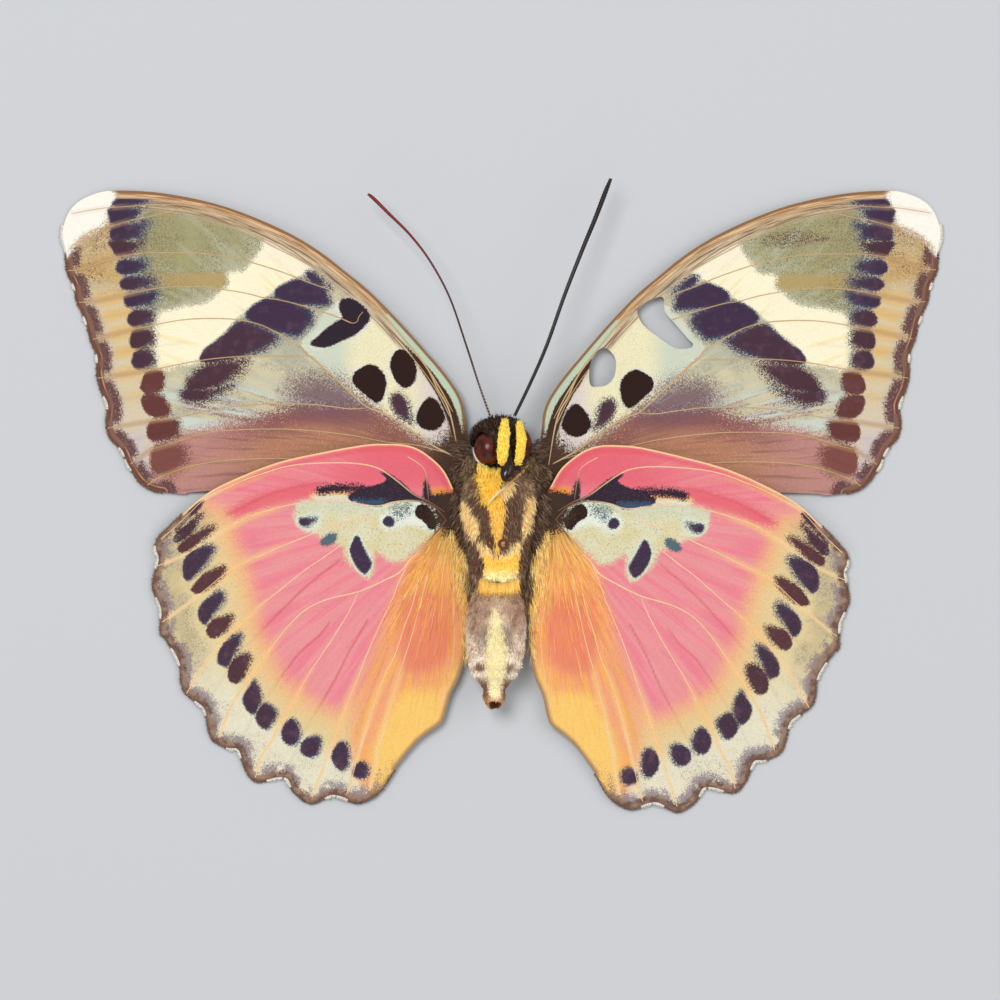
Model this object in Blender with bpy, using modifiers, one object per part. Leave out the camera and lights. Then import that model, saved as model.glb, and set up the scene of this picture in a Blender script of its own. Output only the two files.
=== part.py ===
"""A dried forest butterfly with its wings spread, lying on its back so that the undersides show.

X runs from wing tip to wing tip, Y towards the head and Z up. The origin is under the middle of
the specimen, on the surface that it lies on. All sizes below are in millimetres.
"""

import math

import bmesh
import bpy
from mathutils import Matrix, Vector

MM = 0.001

# Driving sizes
WING_THICKNESS = 0.3
FOREWING_REACH = 44.0
HINDWING_REACH = 35.0
WING_ROOT_OUT = 4.0
FOREWING_ROOT_HEIGHT = 1.7
HINDWING_ROOT_RISE = 2.25
HINDWING_EDGE_HEIGHT = 0.2
HINDWING_FRONT_LIFT = 0.45
THORAX_BACK_HALF_WIDTH = 2.2
HEAD_HALF_SIZE = (3.05, 2.5, 2.4)
ABDOMEN_LENGTH = 11.8
ABDOMEN_FLATNESS = 0.9
PIECE_GAP = 0.3

# Where each pair of wings meets the body, and how far the right wings lie from a true mirror image
FOREWING_MIDLINE = -0.15
HINDWING_MIDLINE = -0.25
RIGHT_FOREWING_TURN = 0.02
RIGHT_FOREWING_PIVOT = (39.7, 26.5)
RIGHT_HINDWING_TURN = -0.05
RIGHT_HINDWING_PIVOT = (6.6, -4.5)
RIGHT_HINDWING_SIZE = 1.01

# How finely the pieces are faceted
WING_CELL = 2.3
OUTLINE_STEPS = 2
TUBE_SIDES_RESOLUTION = 2
SMOOTH_ANGLE = math.radians(50)

# Outlines, as distance out from the midline and distance towards the head
FOREWING_OUTLINE = [
    (3.35, 4.9), (3.45, 6.1), (3.65, 7.6), (3.85, 9.0), (4.45, 10.4), (5.8, 12.3), (7.6, 14.4),
    (10.2, 17.3), (13.2, 20.35), (15.7, 22.4), (18.2, 24.35), (21.45, 26.3), (25.8, 28.2),
    (29.6, 29.4), (34.15, 30.25), (38.15, 30.5), (40.3, 30.3), (42.2, 29.5), (43.3, 28.4),
    (43.85, 27.0), (43.95, 25.7), (43.6, 24.3), (43.5, 22.5), (42.75, 20.8), (42.5, 19.4),
    (41.6, 17.4), (41.1, 15.5), (40.45, 13.8), (40.5, 12.2), (40.1, 10.5), (39.4, 9.0),
    (39.55, 7.2), (39.2, 5.8), (38.0, 4.5), (37.5, 3.3), (36.9, 2.3), (36.2, 1.3), (35.1, 0.6),
    (33.9, 0.3), (31.65, 0.1), (30.15, 0.35), (17.0, 1.0), (4.6, 2.4), (4.05, 3.2),
]
HINDWING_OUTLINE = [
    (4.15, -0.8), (4.35, -0.2), (4.75, 0.7), (5.55, 2.3), (6.55, 3.4), (8.05, 4.5), (9.55, 5.0),
    (11.55, 5.1), (13.55, 5.0), (17.55, 4.3), (22.05, 3.3), (26.05, 1.8), (29.25, 0.2),
    (31.75, -1.9), (33.75, -3.8), (34.4, -4.6), (34.45, -5.5), (34.2, -6.5), (34.75, -8.5),
    (34.7, -9.6), (33.95, -11.5), (34.05, -13.8), (33.55, -14.3), (32.15, -16.7), (31.95, -18.8),
    (31.55, -19.8), (30.55, -20.6), (29.6, -21.5), (29.25, -23.3), (28.8, -24.5), (27.35, -25.3),
    (26.25, -25.5), (25.65, -27.2), (25.05, -28.2), (24.3, -28.7), (22.55, -28.3),
    (21.35, -28.4), (20.6, -29.8), (18.95, -30.85), (17.05, -30.05), (15.85, -30.2),
    (14.25, -30.8), (12.25, -29.8), (10.55, -27.4), (8.25, -24.6), (6.25, -23.1), (5.65, -22.3),
    (4.95, -19.9), (4.15, -18.3), (3.5, -15.8), (3.35, -12.0), (3.45, -8.5), (3.85, -5.0),
    (4.15, -2.5),
]

# The two openings through the right forewing, as places in the whole specimen
LONG_OPENING = [
    (13.4, 18.3), (13.7, 18.8), (14.5, 19.4), (15.7, 19.8), (16.1, 19.5), (16.2, 18.3),
    (17.3, 17.0), (18.5, 15.6), (19.0, 15.1), (18.7, 14.7), (17.2, 14.7), (15.5, 15.8),
    (14.0, 17.0),
]
ROUND_OPENING = [
    (8.6, 11.7), (8.7, 13.0), (9.1, 14.0), (9.7, 14.6), (10.4, 14.6), (11.1, 13.9), (11.3, 13.0),
    (11.1, 11.8), (10.4, 11.0), (9.5, 10.8), (8.8, 10.9),
]

# Body stations: distance towards the head, middle, half width, lowest and highest point
THORAX_STATIONS = [
    (2.4, -0.3, 1.9, 1.6, 4.6), (1.9, -0.3, 2.7, 0.9, 5.2), (1.0, -0.35, 3.35, 0.3, 5.8),
    (0.0, -0.4, 3.6, 0.0, 6.2), (-2.0, -0.5, 3.55, 0.0, 6.45), (-4.0, -0.5, 3.2, 0.0, 6.4),
    (-5.5, -0.5, 2.8, 0.0, 6.2), (-7.2, -0.5, 2.55, 0.35, 5.9), (-8.5, -0.5, 2.3, 0.9, 5.6),
    (-9.0, -0.5, 1.9, 1.6, 5.1),
]
# Abdomen stations: distance behind its front end, and radius
ABDOMEN_STATIONS = [
    (0.0, 1.9), (0.4, 2.35), (1.3, 2.65), (3.2, 2.95), (5.4, 2.9), (7.1, 2.6), (8.3, 2.15),
    (9.1, 1.55), (9.8, 1.0), (10.3, 1.15), (10.8, 1.1), (11.4, 0.65),
]
ABDOMEN_FRONT = (-0.62, -9.6, 3.8)
ABDOMEN_TURN = math.radians(-1.5)
ABDOMEN_RING_LENGTH = 1.35
ABDOMEN_RING_DEPTH = 0.09

HEAD_MIDDLE = (-0.25, 5.25, 3.6)
LEFT_EYE = ((-1.75, 4.6, 4.1), (1.35, 1.75, 1.75))
RIGHT_EYE = ((1.7, 5.0, 3.7), (1.2, 1.75, 1.7))

# Tube routes: x, y, z and radius
LEFT_PALP = [
    (-0.55, 2.9, 6.4, 0.35), (-0.45, 3.7, 6.85, 0.5), (-0.2, 4.7, 7.0, 0.55),
    (0.05, 5.8, 6.8, 0.55), (0.25, 6.7, 6.35, 0.45), (0.35, 7.3, 6.0, 0.25),
]
RIGHT_PALP = [
    (1.6, 2.9, 6.2, 0.3), (1.75, 3.7, 6.5, 0.45), (1.85, 4.7, 6.6, 0.5), (1.85, 5.7, 6.4, 0.5),
    (1.7, 6.6, 5.9, 0.4), (1.6, 7.1, 5.6, 0.22),
]
PROBOSCIS = [
    (0.8, 4.6, 6.45, 0.2), (0.8, 3.8, 6.55, 0.26), (0.65, 3.0, 6.6, 0.42), (0.45, 2.2, 6.7, 0.55),
    (0.3, 1.5, 6.85, 0.4), (0.2, 1.1, 6.95, 0.2),
]
LEFT_ANTENNA = [
    (-1.25, 7.75, 4.3, 0.11), (-2.4, 11.0, 4.5, 0.1), (-3.6, 14.7, 4.6, 0.1),
    (-5.3, 19.6, 4.5, 0.1), (-7.3, 23.3, 4.3, 0.11), (-9.3, 25.9, 4.1, 0.13),
    (-11.3, 27.9, 3.9, 0.16), (-12.8, 29.4, 3.7, 0.18), (-13.4, 29.9, 3.6, 0.14),
]
RIGHT_ANTENNA = [
    (1.15, 7.85, 4.3, 0.16), (2.9, 11.5, 4.6, 0.17), (4.4, 15.0, 4.8, 0.18),
    (6.1, 19.8, 4.8, 0.19), (7.9, 24.4, 4.6, 0.21), (9.1, 27.3, 4.4, 0.23),
    (10.1, 29.9, 4.2, 0.24), (10.7, 31.4, 4.1, 0.16),
]
FOLDED_LEG = [
    (2.5, 2.9, 5.6, 0.16), (1.9, 2.2, 6.5, 0.16), (1.3, 1.7, 7.2, 0.15), (0.4, 0.9, 7.65, 0.14),
    (-0.4, 0.3, 7.3, 0.13), (-1.1, -0.4, 7.0, 0.12), (-1.5, -0.95, 6.85, 0.1),
]
ANTENNA_STEPS = 3
SHORT_TUBE_STEPS = 2

# Material values: colour, roughness
WING_PINK = ((0.78, 0.30, 0.36), 0.65)
WING_GREEN = ((0.50, 0.52, 0.38), 0.65)
BODY_BUFF = ((0.42, 0.33, 0.22), 0.8)
ABDOMEN_GREY = ((0.55, 0.47, 0.38), 0.75)
EYE_RED = ((0.10, 0.02, 0.015), 0.2)
PALP_YELLOW = ((0.85, 0.55, 0.08), 0.7)
SHELL_BROWN = ((0.16, 0.07, 0.04), 0.4)
SHELL_BLACK = ((0.03, 0.02, 0.02), 0.35)


def clear_scene():
    for old in list(bpy.data.objects):
        bpy.data.objects.remove(old)


def new_collection(name):
    collection = bpy.data.collections.new(name)
    bpy.context.scene.collection.children.link(collection)
    return collection


def make_material(name, look):
    colour, roughness = look
    material = bpy.data.materials.new(name)
    material.use_nodes = True
    shader = material.node_tree.nodes["Principled BSDF"]
    shader.inputs["Base Color"].default_value = (*colour, 1.0)
    shader.inputs["Roughness"].default_value = roughness
    shader.inputs["Metallic"].default_value = 0.0
    return material


def smooth_line(points, steps, closed):
    """Points on a Catmull-Rom curve through the given points, with the given steps between two."""
    count = len(points)
    spans = count if closed else count - 1
    line = []
    for span in range(spans):
        if closed:
            corners = [points[(span + shift) % count] for shift in (-1, 0, 1, 2)]
        else:
            corners = [points[min(max(span + shift, 0), count - 1)] for shift in (-1, 0, 1, 2)]
        before, start, end, after = (Vector(corner) for corner in corners)
        for step in range(steps):
            t = step / steps
            linear = (end - before) * t
            square = (2 * before - 5 * start + 4 * end - after) * t * t
            cube = (3 * start - before - 3 * end + after) * t * t * t
            line.append((2 * start + linear + square + cube) / 2)
    if not closed:
        line.append(Vector(points[-1]))
    return line


def mesh_of(shape):
    """The evaluated mesh of an object, with its modifiers applied and its caps welded."""
    bpy.context.view_layer.update()
    graph = bpy.context.evaluated_depsgraph_get()
    mesh = bpy.data.meshes.new_from_object(shape.evaluated_get(graph))
    work = bmesh.new()
    work.from_mesh(mesh)
    bmesh.ops.remove_doubles(work, verts=work.verts, dist=0.00001)
    work.to_mesh(mesh)
    work.free()
    return mesh


def finish_piece(name, mesh, material, smooth=True):
    """One sub-part from its final mesh."""
    mesh.name = name
    mesh.materials.clear()
    mesh.materials.append(material)
    if smooth:
        mesh.shade_smooth()
        mesh.set_sharp_from_angle(angle=SMOOTH_ANGLE)
    piece = bpy.data.objects.new(name, mesh)
    specimen.objects.link(piece)
    return piece


def keep_as_cutter(cutter):
    cutter.hide_render = True
    cutter.display_type = "WIRE"


def outline_prism(name, points, height):
    """An upright prism on a closed outline, kept as a cutter."""
    curve = bpy.data.curves.new(name, "CURVE")
    curve.dimensions = "2D"
    curve.fill_mode = "BOTH"
    curve.extrude = height / 2 * MM
    spline = curve.splines.new("POLY")
    spline.points.add(len(points) - 1)
    for place, point in zip(spline.points, points):
        place.co = (point[0] * MM, point[1] * MM, 0.0, 1.0)
    spline.use_cyclic_u = True
    drawn = bpy.data.objects.new(name, curve)
    cutters.objects.link(drawn)
    mesh = mesh_of(drawn)
    prism = bpy.data.objects.new(name + "_cutter", mesh)
    prism.matrix_world = drawn.matrix_world
    cutters.objects.link(prism)
    bpy.data.objects.remove(drawn)
    keep_as_cutter(prism)
    return prism


def add_boolean(shape, operation, cutter):
    cut = shape.modifiers.new(operation.title(), "BOOLEAN")
    cut.operation = operation
    cut.solver = "EXACT"
    cut.object = cutter


def wing_placement(side, midline, turn=0.0, pivot=(0.0, 0.0), size=1.0):
    """Matrix from wing coordinates (out, towards the head) to the specimen's X and Y."""
    flip = Matrix.Scale(side, 4, (1, 0, 0))
    centre = Vector((midline + pivot[0], pivot[1], 0.0))
    spin = Matrix.Rotation(turn, 4, "Z") @ Matrix.Scale(size, 4)
    return Matrix.Translation(centre) @ spin @ Matrix.Translation(
        Vector((midline, 0.0, 0.0)) - centre
    ) @ flip


def forewing_height(out, up):
    """Height of the forewing's middle surface: highest at the root, down to the surface at the tip."""
    share = (out - WING_ROOT_OUT) / (FOREWING_REACH - WING_ROOT_OUT)
    share = min(max(share, 0.0), 1.0)
    tip = WING_THICKNESS / 2
    return tip + (FOREWING_ROOT_HEIGHT - tip) * (1.0 - share) ** 1.2


def hindwing_height(out, up):
    """Height of the hindwing's middle surface, which clears the forewing under its front edge."""
    reach = math.hypot(out - WING_ROOT_OUT, up + 1.0)
    share = min(reach / HINDWING_REACH, 1.0)
    front = min(max((up + 8.0) / 8.0, 0.0), 1.0)
    lift = HINDWING_FRONT_LIFT * front * front * (3.0 - 2.0 * front)
    return HINDWING_EDGE_HEIGHT + HINDWING_ROOT_RISE * (1.0 - share) ** 0.9 + lift


def make_wing(name, outline, placement, height, material, openings=()):
    """A thin plate cut to the wing's outline from a flat grid, then bent to the wing's heights."""
    border = [placement @ Vector((*point, 0.0)) for point in smooth_line(outline, OUTLINE_STEPS, True)]
    low_x = min(point.x for point in border) - WING_CELL
    high_x = max(point.x for point in border) + WING_CELL
    low_y = min(point.y for point in border) - WING_CELL
    high_y = max(point.y for point in border) + WING_CELL
    work = bmesh.new()
    bmesh.ops.create_grid(
        work,
        x_segments=round((high_x - low_x) / WING_CELL),
        y_segments=round((high_y - low_y) / WING_CELL),
        size=0.5,
    )
    for corner in work.verts:
        corner.co.x = (low_x + high_x) / 2 + corner.co.x * (high_x - low_x)
        corner.co.y = (low_y + high_y) / 2 + corner.co.y * (high_y - low_y)
        corner.co *= MM
    flat = bpy.data.meshes.new(name + "_flat")
    work.to_mesh(flat)
    work.free()
    plate = bpy.data.objects.new(name + "_flat", flat)
    cutters.objects.link(plate)
    keep_as_cutter(plate)
    wall = plate.modifiers.new("Solidify", "SOLIDIFY")
    wall.thickness = WING_THICKNESS * MM
    wall.offset = 0.0
    add_boolean(plate, "INTERSECT", outline_prism(name + "_outline", border, 2.0))
    for number, opening in enumerate(openings):
        edge = smooth_line(opening, OUTLINE_STEPS, True)
        add_boolean(plate, "DIFFERENCE", outline_prism(f"{name}_opening_{number}", edge, 3.0))
    mesh = mesh_of(plate)
    bpy.data.objects.remove(plate)
    to_wing = placement.inverted()
    for corner in mesh.vertices:
        place = to_wing @ Vector((corner.co.x / MM, corner.co.y / MM, 0.0))
        corner.co.z += height(place.x, place.y) * MM
    work = bmesh.new()
    work.from_mesh(mesh)
    bmesh.ops.triangulate(work, faces=work.faces)
    work.to_mesh(mesh)
    work.free()
    return finish_piece(name, mesh, material)


def make_wings():
    green = make_material("forewing_scales", WING_GREEN)
    pink = make_material("hindwing_scales", WING_PINK)
    left = wing_placement(-1, FOREWING_MIDLINE)
    right = wing_placement(1, FOREWING_MIDLINE, RIGHT_FOREWING_TURN, RIGHT_FOREWING_PIVOT)
    openings = (LONG_OPENING, ROUND_OPENING)
    make_wing("forewing_left", FOREWING_OUTLINE, left, forewing_height, green)
    make_wing("forewing_right", FOREWING_OUTLINE, right, forewing_height, green, openings)
    left = wing_placement(-1, HINDWING_MIDLINE)
    right = wing_placement(
        1, HINDWING_MIDLINE, RIGHT_HINDWING_TURN, RIGHT_HINDWING_PIVOT, RIGHT_HINDWING_SIZE
    )
    make_wing("hindwing_left", HINDWING_OUTLINE, left, hindwing_height, pink)
    make_wing("hindwing_right", HINDWING_OUTLINE, right, hindwing_height, pink)


def thorax_ring(station, corners):
    """One cross-section of the thorax: an oval whose lower side is flat where it rests."""
    up, middle, half_width, low, high = station
    centre = (low + high) / 2
    ring = []
    for corner in range(corners):
        angle = 2 * math.pi * (corner + 0.5) / corners
        side = math.cos(angle)
        rise = math.sin(angle)
        if low == 0.0 and rise < 0 and abs(side) <= THORAX_BACK_HALF_WIDTH / half_width:
            rise = -1.0
        x = middle + half_width * math.copysign(abs(side) ** 0.9, side)
        ring.append(Vector((x, up, centre + (high - low) / 2 * rise)) * MM)
    return ring


def make_thorax():
    """The thorax is a loft between unlike ovals, rounded off at both ends and flat on its back."""
    corners = 20
    stations = []
    for span, start in enumerate(THORAX_STATIONS[:-1]):
        end = THORAX_STATIONS[span + 1]
        stations.append(start)
        if start[3] == end[3] or span < 2:
            stations.append(tuple((a + b) / 2 for a, b in zip(start, end)))
    stations.append(THORAX_STATIONS[-1])
    work = bmesh.new()
    rings = []
    for station in stations:
        rings.append([work.verts.new(place) for place in thorax_ring(station, corners)])
    for front, back in zip(rings, rings[1:]):
        for corner in range(corners):
            after = (corner + 1) % corners
            work.faces.new((front[corner], back[corner], back[after], front[after]))
    work.faces.new(rings[0])
    work.faces.new(list(reversed(rings[-1])))
    bmesh.ops.recalc_face_normals(work, faces=work.faces)
    bmesh.ops.triangulate(work, faces=work.faces)
    mesh = bpy.data.meshes.new("thorax")
    work.to_mesh(mesh)
    work.free()
    return finish_piece("thorax", mesh, make_material("thorax_hair", BODY_BUFF))


def abdomen_radius(distance):
    """Radius of the abdomen at a distance behind its front end, with a groove at each ring's edge."""
    for (near, near_radius), (far, far_radius) in zip(ABDOMEN_STATIONS, ABDOMEN_STATIONS[1:]):
        if distance <= far:
            share = (distance - near) / (far - near)
            share = share * share * (3 - 2 * share)
            radius = near_radius + (far_radius - near_radius) * share
            break
    else:
        radius = ABDOMEN_STATIONS[-1][1]
    place = (distance % ABDOMEN_RING_LENGTH) / ABDOMEN_RING_LENGTH
    groove = ABDOMEN_RING_DEPTH if place < 0.2 and 1.0 < distance < 9.0 else 0.0
    return radius - groove


def make_abdomen():
    """The abdomen is a turned profile, a little flatter than round, that ends in its claspers."""
    last = ABDOMEN_STATIONS[-1][0]
    steps = 34
    profile = [Vector((0.0, 0.0, 0.2))]
    for step in range(steps + 1):
        distance = last * step / steps
        profile.append(Vector((abdomen_radius(distance), 0.0, -distance)))
    profile.append(Vector((0.0, 0.0, -ABDOMEN_LENGTH)))
    work = bmesh.new()
    corners = [work.verts.new(place * MM) for place in profile]
    for upper, lower in zip(corners, corners[1:]):
        work.edges.new((upper, lower))
    line = bpy.data.meshes.new("abdomen_profile")
    work.to_mesh(line)
    work.free()
    turned = bpy.data.objects.new("abdomen_profile", line)
    cutters.objects.link(turned)
    screw = turned.modifiers.new("Screw", "SCREW")
    screw.axis = "Z"
    screw.steps = 18
    screw.render_steps = 18
    screw.use_merge_vertices = True
    screw.merge_threshold = 0.00001
    mesh = mesh_of(turned)
    bpy.data.objects.remove(turned)
    lay_down = Matrix.Rotation(-math.pi / 2, 4, "X")
    place = (
        Matrix.Translation(Vector(ABDOMEN_FRONT) * MM)
        @ Matrix.Rotation(ABDOMEN_TURN, 4, "Z")
        @ Matrix.Scale(ABDOMEN_FLATNESS, 4, (0, 0, 1))
        @ lay_down
    )
    mesh.transform(place)
    return finish_piece("abdomen", mesh, make_material("abdomen_scales", ABDOMEN_GREY))


def ball(name, middle, half_sizes, segments, rings, grow=0.0):
    """An ellipsoid as a mesh object among the cutters."""
    work = bmesh.new()
    bmesh.ops.create_uvsphere(work, u_segments=segments, v_segments=rings, radius=1.0)
    for corner in work.verts:
        for axis in range(3):
            corner.co[axis] = (corner.co[axis] * (half_sizes[axis] + grow) + middle[axis]) * MM
    mesh = bpy.data.meshes.new(name)
    work.to_mesh(mesh)
    work.free()
    shape = bpy.data.objects.new(name, mesh)
    cutters.objects.link(shape)
    keep_as_cutter(shape)
    return shape


def make_eye(name, eye, material):
    middle, half_sizes = eye
    shape = ball(name + "_ball", middle, half_sizes, 18, 12)
    mesh = shape.data.copy()
    bpy.data.objects.remove(shape)
    return finish_piece(name, mesh, material)


def make_head():
    """The head is an ellipsoid with a socket for each eye."""
    head = ball("head_ball", HEAD_MIDDLE, HEAD_HALF_SIZE, 22, 14)
    for name, (middle, half_sizes) in (("left", LEFT_EYE), ("right", RIGHT_EYE)):
        add_boolean(head, "DIFFERENCE", ball(name + "_socket", middle, half_sizes, 18, 12, PIECE_GAP))
    mesh = mesh_of(head)
    bpy.data.objects.remove(head)
    finish_piece("head", mesh, make_material("head_hair", BODY_BUFF))
    red = make_material("eye_shell", EYE_RED)
    make_eye("eye_left", LEFT_EYE, red)
    make_eye("eye_right", RIGHT_EYE, red)


def make_tube(name, route, steps, material):
    """A tapering tube along a smooth line through its route, with closed ends."""
    curve = bpy.data.curves.new(name, "CURVE")
    curve.dimensions = "3D"
    curve.bevel_depth = 1.0 * MM
    curve.bevel_resolution = TUBE_SIDES_RESOLUTION
    curve.use_fill_caps = True
    points = smooth_line(route, steps, False)
    spline = curve.splines.new("POLY")
    spline.points.add(len(points) - 1)
    for place, point in zip(spline.points, points):
        place.co = (point[0] * MM, point[1] * MM, point[2] * MM, 1.0)
        place.radius = point[3]
    drawn = bpy.data.objects.new(name + "_route", curve)
    cutters.objects.link(drawn)
    mesh = mesh_of(drawn)
    bpy.data.objects.remove(drawn)
    return finish_piece(name, mesh, material)


def make_mouthparts():
    yellow = make_material("palp_hair", PALP_YELLOW)
    make_tube("palp_left", LEFT_PALP, SHORT_TUBE_STEPS, yellow)
    make_tube("palp_right", RIGHT_PALP, SHORT_TUBE_STEPS, yellow)
    make_tube("proboscis", PROBOSCIS, SHORT_TUBE_STEPS, make_material("proboscis_shell", SHELL_BLACK))


def make_limbs():
    brown = make_material("antenna_shell_brown", SHELL_BROWN)
    black = make_material("antenna_shell_black", SHELL_BLACK)
    make_tube("antenna_left", LEFT_ANTENNA, ANTENNA_STEPS, brown)
    make_tube("antenna_right", RIGHT_ANTENNA, ANTENNA_STEPS, black)
    make_tube("folded_leg", FOLDED_LEG, SHORT_TUBE_STEPS, make_material("leg_shell", SHELL_BROWN))


clear_scene()
specimen = new_collection("butterfly_specimen")
cutters = new_collection("cutters")
make_wings()
make_thorax()
make_abdomen()
make_head()
make_mouthparts()
make_limbs()
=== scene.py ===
import math

import bpy
import numpy as np
from mathutils import Matrix, Vector


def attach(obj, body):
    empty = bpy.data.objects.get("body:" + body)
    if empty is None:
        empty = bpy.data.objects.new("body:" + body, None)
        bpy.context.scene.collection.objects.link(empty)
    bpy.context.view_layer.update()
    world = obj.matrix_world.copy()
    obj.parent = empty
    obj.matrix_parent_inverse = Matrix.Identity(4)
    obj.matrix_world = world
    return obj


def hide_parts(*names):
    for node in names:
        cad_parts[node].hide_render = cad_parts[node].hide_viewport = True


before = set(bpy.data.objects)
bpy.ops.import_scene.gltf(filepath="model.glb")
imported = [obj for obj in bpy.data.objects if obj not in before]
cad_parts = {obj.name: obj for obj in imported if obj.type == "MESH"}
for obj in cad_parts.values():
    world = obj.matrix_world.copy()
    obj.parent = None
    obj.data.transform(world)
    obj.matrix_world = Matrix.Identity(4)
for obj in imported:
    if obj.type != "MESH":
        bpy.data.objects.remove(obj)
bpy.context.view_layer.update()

# Looks of a dried, spread forest butterfly on its back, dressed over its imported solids

# Real sizes in millimetres, the same as those of the solids
MM = 0.001
FOREWING_REACH = 44.0
HINDWING_REACH = 35.0
WING_ROOT_OUT = 4.0
SOLID_WING_THICKNESS = 0.3
FOREWING_ROOT_HEIGHT = 1.7
HINDWING_ROOT_RISE = 2.25
HINDWING_EDGE_HEIGHT = 0.2
HINDWING_FRONT_LIFT = 0.45
FOREWING_MIDLINE = -0.15
HINDWING_MIDLINE = -0.25
RIGHT_FOREWING_TURN = 0.02
RIGHT_FOREWING_PIVOT = (39.7, 26.5)
RIGHT_HINDWING_TURN = -0.05
RIGHT_HINDWING_PIVOT = (6.6, -4.5)
RIGHT_HINDWING_SIZE = 1.01

# Fineness of the dressed wings
OUTER_SCATTER = 0.65
INNER_SCATTER = 0.95
MARK_GROWTH = 0.9
SCALE_SIZE = 0.075
MEMBRANE = 0.11
WING_CELL = 0.23
OUTLINE_STEPS = 5
FRINGE_GAP = 0.045

# Gaps in metres below which points of a tube or of a solid are merged, and the points of a hair
SEAM_GAP = 0.0000001
SOLID_GAP = 0.000001
HAIR_POINTS = 7

# The photograph's pixels: ten to a millimetre, and where the specimen's X and Y are zero
PIXELS_PER_MM = 10.0
PHOTO_MIDDLE = (503.0, 495.0)

FOREWING_OUTLINE = [
    (3.35, 4.9), (3.45, 6.1), (3.65, 7.6), (3.85, 9.0), (4.45, 10.4), (5.8, 12.3), (7.6, 14.4),
    (10.2, 17.3), (13.2, 20.35), (15.7, 22.4), (18.2, 24.35), (21.45, 26.3), (25.8, 28.2), (29.6, 29.4),
    (34.15, 30.25), (38.15, 30.5), (40.3, 30.3), (42.2, 29.5), (43.3, 28.4), (43.85, 27.0), (43.95, 25.7),
    (43.6, 24.3), (43.5, 22.5), (42.75, 20.8), (42.5, 19.4), (41.6, 17.4), (41.1, 15.5), (40.45, 13.8),
    (40.5, 12.2), (40.1, 10.5), (39.4, 9.0), (39.55, 7.2), (39.2, 5.8), (38.0, 4.5), (37.5, 3.3),
    (36.9, 2.3), (36.2, 1.3), (35.1, 0.6), (33.9, 0.3), (31.65, 0.1), (30.15, 0.35), (17.0, 1.0),
    (4.6, 2.4), (4.05, 3.2),
]
HINDWING_OUTLINE = [
    (4.15, -0.8), (4.35, -0.2), (4.75, 0.7), (5.55, 2.3), (6.55, 3.4), (8.05, 4.5), (9.55, 5.0),
    (11.55, 5.1), (13.55, 5.0), (17.55, 4.3), (22.05, 3.3), (26.05, 1.8), (29.25, 0.2), (31.75, -1.9),
    (33.75, -3.8), (34.4, -4.6), (34.45, -5.5), (34.2, -6.5), (34.75, -8.5), (34.7, -9.6), (33.95, -11.5),
    (34.05, -13.8), (33.55, -14.3), (32.15, -16.7), (31.95, -18.8), (31.55, -19.8), (30.55, -20.6),
    (29.6, -21.5), (29.25, -23.3), (28.8, -24.5), (27.35, -25.3), (26.25, -25.5), (25.65, -27.2),
    (25.05, -28.2), (24.3, -28.7), (22.55, -28.3), (21.35, -28.4), (20.6, -29.8), (18.95, -30.85),
    (17.05, -30.05), (15.85, -30.2), (14.25, -30.8), (12.25, -29.8), (10.55, -27.4), (8.25, -24.6),
    (6.25, -23.1), (5.65, -22.3), (4.95, -19.9), (4.15, -18.3), (3.5, -15.8), (3.35, -12.0), (3.45, -8.5),
    (3.85, -5.0), (4.15, -2.5),
]
# Stretches of the outlines, by the number of their first and last point
FOREWING_FRONT = (0, 17)
FOREWING_OUTER = (19, 38)
HINDWING_FRONT = (2, 13)
HINDWING_OUTER = (13, 43)
HINDWING_INNER = (43, 53)
LONG_OPENING = [
    (13.4, 18.3), (13.7, 18.8), (14.5, 19.4), (15.7, 19.8), (16.1, 19.5), (16.2, 18.3), (17.3, 17.0),
    (18.5, 15.6), (19.0, 15.1), (18.7, 14.7), (17.2, 14.7), (15.5, 15.8), (14.0, 17.0),
]
ROUND_OPENING = [
    (8.6, 11.7), (8.7, 13.0), (9.1, 14.0), (9.7, 14.6), (10.4, 14.6), (11.1, 13.9), (11.3, 13.0),
    (11.1, 11.8), (10.4, 11.0), (9.5, 10.8), (8.8, 10.9),
]

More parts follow.
